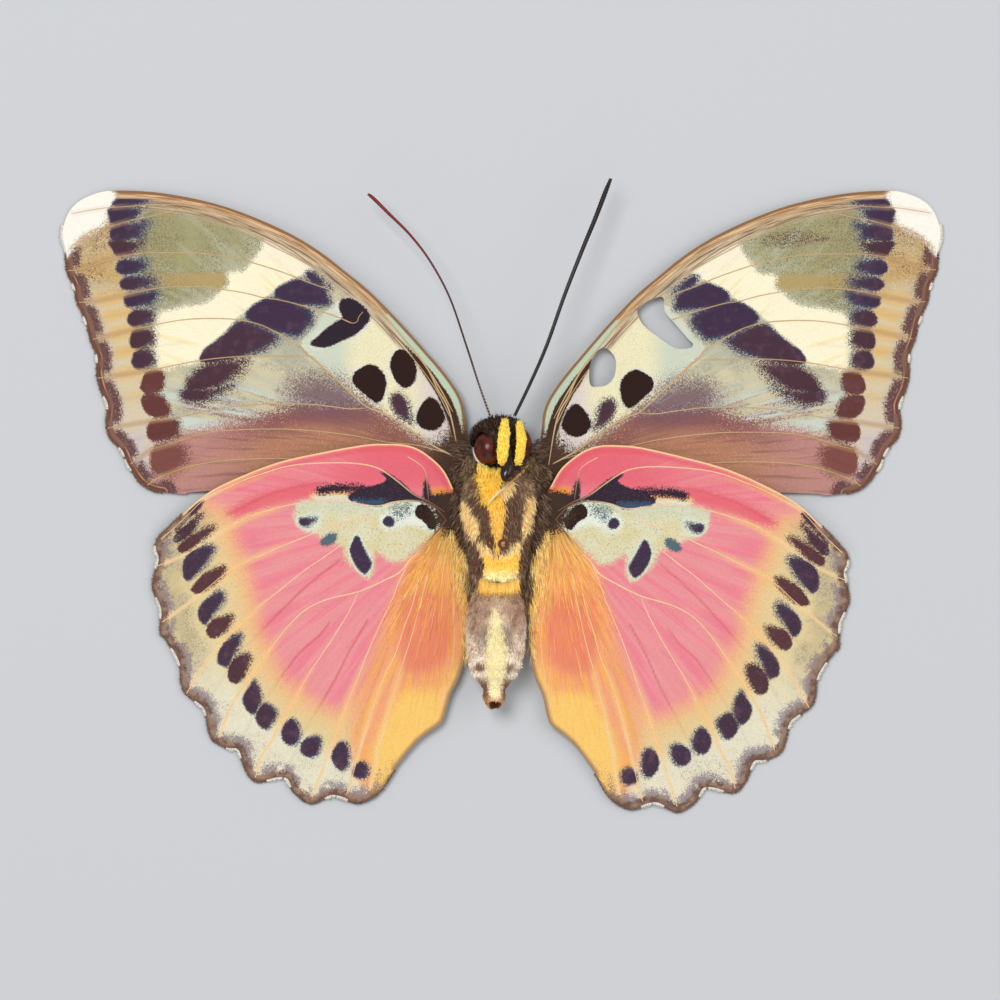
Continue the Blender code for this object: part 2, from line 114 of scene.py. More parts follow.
# Veins and marks of the left wings, in the photograph's pixels.
# A vein is its route and its radius in millimetres at both ends.
FOREWING_VEINS = {
    "radial": ([(459, 458), (453, 425), (447, 405), (438, 390), (430, 373), (420, 358), (410, 346),
        (400, 334), (390, 322), (380, 312), (370, 304), (350, 288), (325, 269), (300, 253), (275, 240),
        (250, 228), (220, 214), (200, 209)], 0.13, 0.05),
    "front_branch": ([(453, 412), (441, 390), (427, 368), (409, 345), (391, 323), (372, 300), (350, 279),
        (325, 262), (300, 247), (270, 232), (240, 218), (210, 208)], 0.1, 0.04),
    "cell_front": ([(450, 417), (438, 393), (424, 372), (408, 352)], 0.06, 0.04),
    "inner_radial": ([(330, 280), (310, 266), (290, 255), (270, 245), (255, 235), (235, 225), (215, 216),
        (195, 210), (185, 208)], 0.06, 0.05),
    "tip_1": ([(200, 207), (170, 204), (140, 205), (120, 206.5), (100, 208), (72, 213)], 0.06, 0.04),
    "tip_2": ([(185, 207), (170, 211), (150, 216), (130, 220), (110, 226), (90, 231), (69, 248)],
        0.07, 0.04),
    "fork_1": ([(345, 298), (330, 290), (310, 283), (290, 275), (270, 268), (250, 262), (230, 257),
        (210, 254), (190, 252.5), (160, 252.5), (140, 253), (120, 256), (100, 262), (80, 269), (67, 270)],
        0.08, 0.05),
    "fork_2": ([(352, 323), (340, 318), (320, 311), (300, 305), (280, 300), (265, 298), (245, 293),
        (220, 289), (195, 286.5), (165, 287), (145, 290), (128, 294), (95, 301), (78, 302)], 0.08, 0.05),
    "fork_3": ([(303, 348), (290, 340), (272, 330), (258, 324), (240, 320), (222, 318.5), (200, 318.5),
        (180, 320), (160, 323.5), (145, 327), (130, 330), (92, 339)], 0.09, 0.05),
    "fork_4": ([(306, 356), (290, 356), (270, 356), (250, 356), (230, 357), (210, 359), (190, 362),
        (170, 366), (150, 370), (137, 372), (97, 378)], 0.09, 0.05),
    "fork_5": ([(367, 408), (350, 409), (335, 407), (305, 404), (270, 404), (240, 406), (210, 410),
        (183, 416), (150, 421), (107, 428)], 0.08, 0.05),
    "rear_1": ([(450, 454), (432, 449), (415, 445), (385, 442), (355, 436), (325, 432), (295, 429.5),
        (265, 429), (235, 430), (210, 432), (190, 437), (170, 444), (150, 450), (130, 464)], 0.08, 0.05),
    "rear_2": ([(330, 462), (290, 459), (250, 459), (220, 461), (195, 465), (175, 471), (160, 477),
        (147, 485)], 0.08, 0.05),
    "cell_rear": ([(455, 457), (447, 453), (430, 444), (410, 430), (395, 420), (380, 412), (367, 407),
        (355, 397), (345, 388), (335, 378), (320, 365), (307, 354), (302, 348), (290, 340)], 0.12, 0.08),
    "cell_end": ([(340, 318), (351, 323), (357, 322), (359, 317), (363, 312)], 0.06, 0.05),
}
FOREWING_FOLDS = [
    [(75, 270), (100, 272), (122, 277), (140, 274.5), (150, 272), (225, 271)],
    [(195, 303), (165, 306), (140, 308), (125, 312), (90, 320)],
    [(185, 342), (165, 345), (140, 349), (105, 354)],
    [(222, 382), (200, 386), (175, 391), (160, 394), (143, 396), (104, 402)],
    [(300, 300), (275, 310), (255, 308), (235, 312)],
    [(141, 240), (170, 238), (205, 238), (240, 243)],
    [(400, 436), (350, 424), (300, 418), (250, 418), (200, 424), (130, 440)],
    [(430, 455), (370, 450), (300, 445), (240, 445), (190, 452), (140, 472)],
]
HINDWING_VEINS = {
    "front": ([(445, 512), (430, 502), (415, 495), (400, 483), (388, 474), (375, 467), (355, 463.5),
        (330, 463), (305, 464), (285, 467), (265, 473), (245, 480), (225, 489), (208, 497), (198, 505),
        (190, 513), (173, 529), (161, 539)], 0.1, 0.05),
    "shoulder": ([(429, 500), (427, 480), (425, 470), (418, 463), (408, 457)], 0.08, 0.04),
    "fork_1": ([(447, 521), (437, 509), (425, 502.5), (411, 500.5), (394, 502), (376, 506), (345, 502),
        (320, 501), (295, 504), (270, 510), (248, 517), (225, 530), (210, 540), (195, 549), (183, 556),
        (157, 566)], 0.1, 0.05),
    "cell_end": ([(376, 508), (368, 513), (362, 519), (361, 523)], 0.04, 0.03),
    "fork_2": ([(361, 518), (345, 522), (320, 531), (300, 539), (280, 547), (260, 556), (245, 562),
        (226, 573), (205, 590), (185, 606), (162, 622)], 0.08, 0.05),
    "fork_3": ([(347, 541), (330, 553), (320, 560), (305, 570), (290, 582), (275, 594), (262, 604),
        (250, 615), (235, 630), (215, 651), (198, 674), (186, 694)], 0.08, 0.05),
    "cell_rear": ([(446, 520), (440, 528), (425, 546), (410, 560), (400, 572), (385, 580), (370, 587),
        (357, 592), (340, 596), (325, 600), (310, 607), (297, 617), (285, 630), (275, 643), (262, 660),
        (245, 684), (232, 704), (218, 738)], 0.12, 0.05),
    "fork_5": ([(358, 593), (350, 610), (338, 630), (325, 650), (312, 669), (302, 686), (295, 700),
        (280, 722), (272, 740), (262, 755), (255, 778)], 0.07, 0.05),
    "fork_6": ([(410, 560), (400, 580), (392, 600), (380, 625), (368, 652), (358, 678), (350, 697),
        (342, 718), (333, 742), (325, 762), (312, 798)], 0.08, 0.05),
    "rear_1": ([(422, 562), (414, 600), (405, 625), (395, 655), (385, 675), (372, 710), (360, 748),
        (350, 785), (346, 795)], 0.07, 0.05),
    "rear_2": ([(432, 560), (424, 590), (412, 635), (400, 672), (388, 712), (378, 748), (370, 790)],
        0.06, 0.04),
    "inner": ([(446, 560), (452, 600), (455, 640), (450, 672), (442, 705)], 0.05, 0.04),
}
HINDWING_FOLDS = [
    [(212, 524), (200, 531), (177, 544)],
    [(220, 562), (200, 573), (183, 587), (160, 598)],
    [(222, 610), (204, 627), (180, 650)],
    [(243, 647), (228, 670), (205, 705)],
    [(262, 700), (254, 716), (236, 748)],
    [(303, 730), (296, 750), (284, 775)],
    [(360, 745), (353, 775), (344, 793)],
    [(340, 560), (320, 575), (300, 592), (270, 622), (245, 648)],
    [(330, 622), (320, 635), (300, 652), (280, 678), (262, 705), (255, 717)],
    [(368, 620), (350, 650), (335, 680), (317, 710), (303, 735)],
    [(400, 620), (385, 655), (370, 695), (355, 735)],
    [(330, 482), (300, 486), (270, 494), (240, 508), (215, 522)],
]
# A mark is its outline, how far its scales scatter outwards and towards the body, and its tint:
# 0 black brown, 1 violet blue, 2 violet brown, 3 red brown.
FOREWING_MARKS = [
    ([(112, 204), (118, 198), (128, 195.5), (143, 196), (149, 199), (143, 204), (120, 206)], 2, 5, 1),
    ([(110, 208), (138, 207), (139, 213), (133, 220), (113, 224), (109, 216)], 2, 5, 1),
    ([(113, 226), (130, 222), (147, 222), (143, 231), (140, 239), (113, 240), (110, 232)], 2, 7, 1.4),
    ([(110, 241), (140, 240), (138, 248), (131, 255), (118, 256), (112, 249)], 2, 7, 2),
    ([(116, 266), (120, 260), (132, 258.5), (143, 260), (147, 265), (141, 272), (126, 274.5), (117, 271)],
      1.5, 6, 1.1),
    ([(120, 282), (126, 277), (140, 275.5), (152, 278), (154, 283), (146, 288), (130, 290), (121, 287)],
      1.5, 7, 1.6),
    ([(126, 295), (140, 291.5), (157, 291), (153, 302), (141, 306), (127, 306), (124, 300)], 1.5, 5, 1.3),
    ([(128, 316), (134, 310), (145, 308.5), (153, 311), (153, 321), (146, 325), (134, 326), (128, 322)],
      1.5, 6, 1.8),
    ([(130, 338), (134, 330), (145, 327.5), (153, 331), (154, 342), (147, 347), (134, 348), (130, 344)],
      1.5, 6, 2),
    ([(132, 358), (136, 351), (146, 349), (153, 353), (154, 363), (147, 368), (137, 368), (132, 364)],
      1.5, 5, 1.8),
    ([(141, 384), (145, 374), (155, 370.5), (163, 373), (163, 386), (158, 392), (147, 393), (141, 389)],
      1.5, 3, 3),
    ([(143, 396), (160, 395), (168, 405), (169, 415), (158, 418), (147, 413), (142, 404)], 1.5, 4, 2.8),
    ([(147, 430), (150, 422), (165, 419), (178, 420), (178, 432), (172, 439), (154, 441), (148, 437)],
      2, 5, 3),
    ([(150, 458), (154, 447), (166, 442), (180, 444), (187, 452), (184, 466), (172, 474), (158, 474),
      (151, 468)], 3, 9, 3.8),
    ([(306, 273), (313, 272), (320, 277), (326, 282), (331, 289), (320, 287), (310, 281)], 4, 6, 1.4),
    ([(276, 290), (283, 285), (292, 281), (300, 279), (304, 281), (316, 284), (326, 289), (329, 297),
      (330, 305), (318, 306), (305, 305), (290, 302), (277, 297)], 2, 4, 1.1),
    ([(246, 314), (256, 304), (270, 298), (285, 299), (300, 304), (311, 310), (314, 319), (308, 328),
      (299, 336), (288, 335), (275, 331), (262, 326), (250, 320)], 2, 5, 1.3),
    ([(237, 322), (250, 322), (262, 326), (272, 331), (280, 337), (271, 346), (256, 353), (240, 357),
      (222, 360), (201, 361), (204, 350), (215, 342), (226, 333)], 1.5, 6, 1.7),
    ([(236, 358), (247, 360), (242, 371), (232, 380), (222, 387), (205, 391), (185, 392), (188, 378),
      (199, 368), (215, 360)], 7, 10, 2.2),
    ([(232, 384), (226, 392), (213, 399), (200, 403), (186, 401), (180, 395), (185, 388), (206, 387)],
      6, 9, 2.1),
]
CELL_MARKS = [
    ([(354, 375), (361, 369), (370, 365), (379, 369), (385, 378), (385, 390), (381, 400), (376, 402),
      (369, 397), (361, 390), (354, 383)], 1.2, 1.2, 0),
    ([(417, 418), (421, 407), (427, 400), (431, 398), (438, 403), (444, 414), (444, 421), (438, 428),
      (430, 430), (422, 427)], 1.2, 1.5, 0),
    ([(391, 398), (396, 393), (402, 395), (408, 402), (410, 412), (413, 423), (405, 421), (396, 414),
      (392, 406)], 5, 5, 1.9),
]
LEFT_ONLY_CELL_MARKS = [
    ([(391, 365), (394, 355), (400, 350), (407, 353), (413, 360), (416, 370), (414, 381), (408, 387),
      (402, 386), (395, 378)], 1.2, 1.2, 0),
    ([(341, 301), (350, 299), (358, 303), (366, 310), (370, 318), (365, 325), (358, 332), (350, 337),
      (340, 341), (332, 345), (322, 347), (311, 344), (318, 337), (326, 330), (335, 323), (343, 318),
      (340, 310)], 1.5, 1.5, 0.6),
]
RIGHT_ONLY_SPECKLES = [
    (168, 236), (180, 229), (200, 226), (222, 226), (242, 232), (246, 242), (224, 249), (200, 246),
    (178, 243),
]
FOREWING_ZONES = {
    "band": [(262, 238), (260, 248), (250, 262), (243, 270), (226, 272), (228, 283), (220, 290), (205, 302),
        (185, 305), (160, 311), (152, 330), (152, 350), (158, 370), (180, 365), (202, 360), (208, 347),
        (218, 338), (229, 330), (239, 318), (250, 308), (265, 299), (282, 286), (300, 277), (314, 268),
        (316, 262), (306, 254), (295, 247), (280, 240)],
    "green": [(146, 200), (175, 202), (205, 209), (235, 220), (258, 232), (264, 238), (260, 248),
        (250, 262), (243, 270), (226, 272), (228, 283), (220, 290), (205, 302), (185, 305), (160, 311),
        (146, 306), (140, 280), (136, 262), (134, 240), (138, 220)],
    "olive": [(140, 274), (180, 272.5), (226, 272), (226, 283), (222, 288), (195, 286.5), (165, 287),
        (145, 289)],
    "tip": [(98, 186), (116, 193), (112, 205), (107, 214), (104, 223), (93, 230), (80, 237), (72, 247),
        (66, 258), (55, 252), (52, 218), (70, 192)],
    "cell": [(452, 424), (447, 407), (438, 391), (420, 362), (400, 338), (380, 315), (362, 300), (352, 296),
        (343, 300), (332, 306), (318, 322), (308, 335), (302, 346), (315, 357), (330, 372), (345, 386),
        (360, 400), (378, 410), (395, 419), (415, 432), (432, 441), (446, 444)],
    "brown": [(458, 440), (446, 446), (430, 444), (405, 428), (385, 414), (367, 406), (340, 404),
        (300, 405), (278, 410), (245, 419), (212, 426), (182, 434), (160, 441), (150, 448), (146, 470),
        (140, 484), (150, 500), (300, 510), (458, 490)],
    "smudge": [(305, 384), (320, 382), (336, 386), (350, 395), (362, 404), (340, 408), (312, 405),
        (300, 400), (296, 392)],
    "lilac": [(126, 436), (138, 431), (147, 438), (147, 456), (150, 470), (156, 482), (146, 480),
        (136, 466), (128, 452)],
    "mint": [(388, 314), (400, 325), (411, 337), (423, 350), (436, 364), (447, 377), (456, 389), (461, 403),
        (464, 418), (465, 432), (462, 430), (458, 416), (454, 404), (447, 392), (439, 382), (430, 371),
        (418, 358), (407, 346), (396, 332), (386, 318)],
    "black_strip": [(402, 341), (412, 351), (424, 363), (434, 374), (441, 384), (449, 395), (455, 408),
        (459, 420), (463, 436), (466, 446), (455, 447), (451, 432), (447, 418), (441, 404), (434, 390),
        (426, 378), (416, 362), (406, 348)],
}
HINDWING_MARKS = [
    ([(175, 528), (181, 518), (191, 508), (201, 501), (203, 504), (194, 514), (184, 523), (176, 531)],
      1.5, 2, 2),
    ([(174, 540), (177, 533), (185, 526), (193, 519), (202, 512), (203, 515), (197, 522), (195, 530),
      (188, 536), (178, 542)], 1.5, 4, 2),
    ([(178, 547), (185, 541), (195, 534), (207, 527), (216, 526), (211, 533), (203, 539), (195, 546),
      (186, 551), (180, 552)], 1.5, 4, 2.5),
    ([(183, 570), (184, 562), (190, 553), (198, 548), (208, 545), (215, 548), (211, 556), (207, 563),
      (198, 572), (189, 580), (184, 577)], 1.5, 4, 1.5),
    ([(191, 590), (195, 584), (203, 575), (212, 570), (222, 566), (226, 568), (222, 576), (214, 584),
      (206, 590), (199, 593), (193, 592)], 1.5, 4, 2.5),
    ([(199, 610), (203, 603), (210, 597), (217, 592), (223, 592), (224, 600), (219, 607), (213, 614),
      (205, 624), (199, 618)], 1.5, 4, 1.5),
    ([(207, 629), (212, 621), (220, 617), (232, 615), (233, 618), (228, 628), (221, 634), (213, 638),
      (208, 635)], 1.5, 4, 2.5),
    ([(218, 662), (219, 652), (225, 643), (233, 636), (241, 634), (240, 643), (235, 653), (228, 666),
      (222, 665)], 1.5, 4, 1.6),
    ([(228, 675), (230, 666), (236, 658), (244, 653), (251, 656), (248, 668), (243, 677), (236, 683),
      (230, 681)], 1.5, 4, 2.3),
    ([(243, 700), (246, 692), (251, 685), (254, 680), (259, 688), (261, 697), (259, 706), (254, 714),
      (247, 710)], 1.5, 3, 1.6),
    ([(256, 718), (259, 710), (265, 703), (273, 708), (277, 713), (273, 722), (267, 729), (260, 726)],
      1.5, 3, 1.6),
    ([(282, 733), (285, 724), (292, 719), (298, 725), (300, 735), (297, 743), (290, 745), (284, 741)],
      1.5, 3, 1.5),
    ([(301, 748), (304, 741), (312, 737), (320, 738), (320, 748), (315, 756), (308, 757), (302, 753)],
      1.5, 3, 1.5),
    ([(332, 757), (335, 748), (341, 742), (347, 745), (349, 757), (347, 767), (341, 771), (335, 765)],
      1.5, 3, 1.5),
    ([(353, 775), (356, 766), (362, 762), (368, 767), (368, 774), (363, 779)], 2, 3, 1.5),
    ([(382, 472), (390, 475), (398, 480), (404, 485), (411, 492), (418, 497), (424, 499), (424, 490),
      (426, 480), (430, 490), (432, 496), (440, 495), (450, 496), (458, 501), (457, 510), (452, 516),
      (444, 513), (430, 504), (418, 500), (405, 500), (390, 502), (378, 506), (366, 503), (350, 499),
      (352, 494), (366, 488), (376, 486), (388, 480)], 1.5, 2, 0.7),
    ([(318, 488), (330, 485), (348, 485), (368, 487), (368, 492), (350, 492), (335, 492), (320, 494)],
      5, 4, 0.5),
    ([(416, 511), (419, 506), (425, 505), (431, 510), (435, 517), (437, 521), (436, 527), (431, 529),
      (427, 524), (422, 519), (417, 516)], 1, 1.2, 0),
    ([(384, 521), (387, 517), (391, 517), (394, 521), (393, 525), (389, 526), (385, 524)], 1.2, 1.2, 1),
    ([(300, 519), (308, 518), (317, 518), (312, 523), (306, 526), (301, 524)], 2, 3, 1.3),
    ([(352, 545), (356, 537), (359, 538), (363, 547), (367, 555), (371, 563), (368, 571), (364, 573),
      (358, 567), (353, 558), (351, 550)], 1.2, 1.2, 1),
]
HINDWING_ZONES = {
    "pink": [(500, 430), (330, 430), (180, 470), (195, 500), (212, 505), (228, 515), (236, 542), (246, 570),
        (254, 596), (258, 625), (270, 652), (284, 680), (308, 698), (336, 712), (352, 704), (372, 690),
        (405, 690), (430, 672), (446, 650), (470, 600)],
    "orange": [(406, 560), (398, 590), (384, 625), (371, 660), (360, 695), (350, 730), (352, 770),
        (380, 800), (450, 740), (480, 600), (470, 530), (446, 524), (425, 542)],
    "coral": [(404, 600), (420, 590), (440, 592), (450, 610), (450, 640), (443, 662), (425, 672),
        (405, 668), (398, 640)],
    "yellow": [(447, 560), (458, 552), (470, 600), (470, 650), (450, 672), (440, 690), (405, 690),
        (385, 720), (372, 750), (372, 800), (400, 800), (470, 720), (480, 560), (460, 530)],
    "pale": [(296, 504), (320, 499), (345, 499), (375, 505), (400, 500), (425, 502), (440, 513), (440, 526),
        (425, 541), (412, 553), (400, 562), (388, 560), (376, 552), (374, 568), (369, 579), (357, 570),
        (347, 560), (343, 547), (332, 543), (316, 534), (298, 526)],
    "blue": [(392, 505), (402, 503), (412, 503), (412, 512), (404, 518), (396, 520), (392, 512)],
    "blue_edge": [(352, 498), (368, 500), (388, 500), (380, 506), (368, 505), (355, 502)],
    "blue_spot": [(320, 543), (324, 537), (331, 533), (337, 534), (337, 540), (331, 545), (324, 546)],
    "white_rim": [(381, 515), (392, 511), (404, 511), (414, 503), (426, 503), (437, 512), (440, 521),
        (436, 531), (424, 528), (410, 524), (398, 527), (386, 530), (380, 523)],
    "coral_front": [(228, 513), (245, 500), (268, 491), (295, 485), (318, 481), (318, 492), (308, 498),
        (285, 503), (262, 508), (240, 516)],
    "under_tail": [(312, 494), (332, 492), (356, 493), (356, 498), (334, 499), (316, 499)],
}

# Dips of the outer edge with white fringe: place in the photograph and reach, in pixels
FOREWING_WHITE_DIPS = [
    (66, 230, 22), (84, 200, 22), (74, 286, 4), (87, 319, 5), (99, 358, 5), (107, 402, 7), (124, 450, 6),
    (131, 463, 7),
]
HINDWING_WHITE_DIPS = [
    (156, 552, 6), (155, 563, 6), (158, 603, 6), (160, 613, 6), (175, 653, 6), (179, 661, 5), (200, 704, 6),
    (205, 711, 5), (232, 748, 6), (239, 754, 5), (274, 779, 8), (288, 782, 6), (330, 797, 6), (342, 798, 6),
]


def photo_colour(red, green, blue):
    """A colour read from the photograph, as linear values for a shader."""
    linear = []
    for level in (red, green, blue):
        share = level / 255
        linear.append(share / 12.92 if share <= 0.04045 else ((share + 0.055) / 1.055) ** 2.4)
    return (*linear, 1.0)


def smooth_line(points, steps, closed):
    """Points on a Catmull-Rom curve through the given points, with the given steps between two."""
    given = np.array(points, float)
    count = len(given)
    line = []
    for span in range(count if closed else count - 1):
        if closed:
            before, start, end, after = (given[(span + shift) % count] for shift in (-1, 0, 1, 2))
        else:
            ends = [min(max(span + shift, 0), count - 1) for shift in (-1, 0, 1, 2)]
            before, start, end, after = (given[place] for place in ends)
        for step in range(steps):
            t = step / steps
            linear = (end - before) * t
            square = (2 * before - 5 * start + 4 * end - after) * t * t
            cube = (3 * start - before - 3 * end + after) * t * t * t
            line.append((2 * start + linear + square + cube) / 2)
    if not closed:
        line.append(given[-1])
    return np.array(line)


def wing_placement(side, midline, turn=0.0, pivot=(0.0, 0.0), size=1.0):
    """Matrix from wing coordinates (out, towards the head) to the specimen's X and Y."""
    flip = Matrix.Scale(side, 4, (1, 0, 0))
    centre = Vector((midline + pivot[0], pivot[1], 0.0))
    spin = Matrix.Rotation(turn, 4, "Z") @ Matrix.Scale(size, 4)
    return Matrix.Translation(centre) @ spin @ Matrix.Translation(
        Vector((midline, 0.0, 0.0)) - centre
    ) @ flip


def moved(places, matrix):
    """Flat places, in rows, moved by a matrix."""
    turn = np.array(matrix)
    return places @ turn[:2, :2].T + turn[:2, 3]


def unit(rows):
    """Rows of vectors, each scaled to a length of 1."""
    return rows / np.maximum(np.linalg.norm(rows, axis=1, keepdims=True), 1e-6)


# Distances to lines and outlines, in the units of the places
def distance_to_line(places, line):
    best = np.full(len(places), 1e9)
    for start, end in zip(line[:-1], line[1:]):
        along = end - start
        length = max(float(along @ along), 1e-12)
        share = np.clip((places - start) @ along / length, 0.0, 1.0)
        gap = places - start - share[:, None] * along
        best = np.minimum(best, np.hypot(gap[:, 0], gap[:, 1]))
    return best


def depth_in(places, outline):
    """Distance to a closed outline: positive inside it, negative outside."""
    closed = np.vstack([outline, outline[:1]])
    inside = np.zeros(len(places), bool)
    for (x0, y0), (x1, y1) in zip(closed[:-1], closed[1:]):
        crosses = (y0 > places[:, 1]) != (y1 > places[:, 1])
        if y0 != y1:
            at = x0 + (places[:, 1] - y0) * (x1 - x0) / (y1 - y0)
            inside ^= crosses & (places[:, 0] < at)
    gap = distance_to_line(places, closed)
    return np.where(inside, gap, -gap)


def near_lines(places, lines):
    best = np.full(len(places), 1e9)
    for line in lines:
        best = np.minimum(best, distance_to_line(places, np.array(line, float)))
    return best


def mark_cover(places, marks, limit=3.0):
    """How far inside the nearest mark each place is, in units of that mark's scatter, and its tint."""
    cover = np.full(len(places), -limit)
    tint = np.zeros(len(places))
    for outline, outward, inward, shade in marks:
        shape = smooth_line(outline, 3, True)
        reach = limit * max(outward, inward)
        low = shape.min(0) - reach
        high = shape.max(0) + reach
        close = np.all((places > low) & (places < high), axis=1)
        if not close.any():
            continue
        depth = depth_in(places[close], shape)
        middle = shape.mean(0)
        half = max((shape.max(0) - shape.min(0))[0] / 2, 1.0)
        side = 1 / (1 + np.exp(-4 * (places[close, 0] - middle[0]) / half))
        scatter = outward * OUTER_SCATTER + (inward * INNER_SCATTER - outward * OUTER_SCATTER) * side
        share = np.clip((depth + MARK_GROWTH) / scatter, -limit, limit)
        better = share > cover[close]
        rows = np.flatnonzero(close)[better]
        cover[rows] = share[better]
        tint[rows] = shade
    return cover, tint


# Heights of the wings' middle surfaces, as in the solids, with low relief added
def forewing_height(wing_places):
    share = (wing_places[:, 0] - WING_ROOT_OUT) / (FOREWING_REACH - WING_ROOT_OUT)
    share = np.clip(share, 0.0, 1.0)
    tip = SOLID_WING_THICKNESS / 2
    return tip + (FOREWING_ROOT_HEIGHT - tip) * (1.0 - share) ** 1.2


def hindwing_height(wing_places):
    reach = np.hypot(wing_places[:, 0] - WING_ROOT_OUT, wing_places[:, 1] + 1.0)
    share = np.minimum(reach / HINDWING_REACH, 1.0)
    front = np.clip((wing_places[:, 1] + 8.0) / 8.0, 0.0, 1.0)
    lift = HINDWING_FRONT_LIFT * front * front * (3.0 - 2.0 * front)
    return HINDWING_EDGE_HEIGHT + HINDWING_ROOT_RISE * (1.0 - share) ** 0.9 + lift


# Ridges along the veins and valleys along the folds, in millimetres
RIDGE_HEIGHT = 0.05
RIDGE_WIDTH = 0.5
VALLEY_DEPTH = 0.055
VALLEY_WIDTH = 0.8


def relief(photo_places, veins, folds):
    """Ridges along the veins and shallow valleys along the folds, in millimetres."""
    to_vein = near_lines(photo_places, [route for route, _, _ in veins.values()]) / PIXELS_PER_MM
    to_fold = near_lines(photo_places, folds) / PIXELS_PER_MM
    ridge = RIDGE_HEIGHT * np.exp(-((to_vein / RIDGE_WIDTH) ** 2))
    valley = VALLEY_DEPTH * np.exp(-((to_fold / VALLEY_WIDTH) ** 2))
    return ridge - valley


def to_photo(wing_places, midline):
    """Wing coordinates as pixels of the photograph's left wings."""
    middle = PHOTO_MIDDLE[0] + midline * PIXELS_PER_MM
    return np.column_stack([
        middle - wing_places[:, 0] * PIXELS_PER_MM,
        PHOTO_MIDDLE[1] - wing_places[:, 1] * PIXELS_PER_MM,
    ])


def from_photo(photo_places, midline):
    middle = PHOTO_MIDDLE[0] + midline * PIXELS_PER_MM
    return np.column_stack([
        (middle - photo_places[:, 0]) / PIXELS_PER_MM,
        (PHOTO_MIDDLE[1] - photo_places[:, 1]) / PIXELS_PER_MM,
    ])


def rise_at(wing, wing_places, photo_places):
    """Height of the wing's middle surface with its ridges and valleys, in millimetres."""
    return wing["height"](wing_places) + relief(photo_places, wing["veins"], wing["folds"])


# Small steps of modelling
def select_only(piece):
    bpy.ops.object.select_all(action="DESELECT")
    piece.select_set(True)
    bpy.context.view_layer.objects.active = piece


def linked(name, data):
    """A new object in the scene, which alone is selected."""
    piece = bpy.data.objects.new(name, data)
    bpy.context.scene.collection.objects.link(piece)
    select_only(piece)
    return piece


def clean_mesh(gap=None, quads=False, outwards=False):
    """Cleans the selected piece: merges points that are closer than the gap, in metres."""
    bpy.ops.object.mode_set(mode="EDIT")
    bpy.ops.mesh.select_all(action="SELECT")
    if gap:
        bpy.ops.mesh.remove_doubles(threshold=gap)
    if quads:
        bpy.ops.mesh.tris_convert_to_quads()
    if outwards:
        bpy.ops.mesh.normals_make_consistent(inside=False)
    bpy.ops.object.mode_set(mode="OBJECT")


def dress(piece, *materials):
    """Gives a piece these materials and no others."""
    piece.data.materials.clear()
    for material in materials:
        piece.data.materials.append(material)


def curve_to_mesh(name, curve, outwards):
    """The mesh of a curve, linked to the scene, with its seams merged."""
    linked(name, curve)
    bpy.ops.object.convert(target="MESH")
    clean_mesh(SEAM_GAP, outwards=outwards)
    return bpy.context.object


def tube_curve(name, resolution):
    """An empty curve for round capped tubes, whose radii are in millimetres."""
    curve = bpy.data.curves.new(name, "CURVE")
    curve.dimensions = "3D"
    curve.bevel_depth = MM
    curve.bevel_resolution = resolution
    curve.use_fill_caps = True
    return curve


def tube_mesh(name, curve, material):
    """The smooth mesh of a curve of tubes, in one material."""
    tube = curve_to_mesh(name, curve, True)
    bpy.ops.object.shade_smooth_by_angle(angle=math.radians(60))
    dress(tube, material)
    return tube


def apply_modifiers(piece):
    select_only(piece)
    for modifier in list(piece.modifiers):
        bpy.ops.object.modifier_apply(modifier=modifier.name)


def outline_prism(name, outline, height):
    """An upright prism on a closed outline in millimetres, for trimming."""
    curve = bpy.data.curves.new(name, "CURVE")
    curve.dimensions = "2D"
    curve.fill_mode = "BOTH"
    curve.extrude = height / 2 * MM
    spline = curve.splines.new("POLY")
    spline.points.add(len(outline) - 1)
    for place, point in zip(spline.points, outline):
        place.co = (point[0] * MM, point[1] * MM, 0.0, 1.0)
    spline.use_cyclic_u = True
    return curve_to_mesh(name, curve, False)


def trimmed_membrane(name, border, openings):
    """A flat, thin, finely divided membrane, trimmed to the wing's border and its openings."""
    low = border.min(0) - 2 * WING_CELL
    high = border.max(0) + 2 * WING_CELL
    size = high - low
    bpy.ops.object.select_all(action="DESELECT")
    bpy.ops.mesh.primitive_grid_add(
        x_subdivisions=round(size[0] / WING_CELL),
        y_subdivisions=round(size[1] / WING_CELL),
        size=MM,
        location=(*((low + high) / 2 * MM), 0.0),
    )
    membrane = bpy.context.object
    membrane.name = name
    membrane.data.name = name
    bpy.ops.transform.resize(value=(size[0], size[1], 1.0))
    bpy.ops.object.transform_apply(location=True, rotation=True, scale=True)
    wall = membrane.modifiers.new("Wall", "SOLIDIFY")
    wall.thickness = MEMBRANE * MM
    wall.offset = 0.0
    tools = [("INTERSECT", outline_prism(name + "_trim", border, 2.0))]
    for number, opening in enumerate(openings):
        tools.append(("DIFFERENCE", outline_prism(f"{name}_trim_{number}", opening, 3.0)))
    for operation, tool in tools:
        trim = membrane.modifiers.new(operation.title(), "BOOLEAN")
        trim.operation = operation
        trim.solver = "EXACT"
        trim.object = tool
    apply_modifiers(membrane)
    for _, tool in tools:
        bpy.data.objects.remove(tool)
    return membrane


def places_of(mesh):
    places = np.zeros(len(mesh.vertices) * 3, np.float32)
    mesh.vertices.foreach_get("co", places)
    return places.reshape(-1, 3).astype(float)


def set_places(mesh, places):
    mesh.vertices.foreach_set("co", places.astype(np.float32).ravel())
    mesh.update()


def set_field(mesh, name, values):
    field = mesh.attributes.new(name, "FLOAT", "POINT")
    field.data.foreach_set("value", np.asarray(values, np.float32))


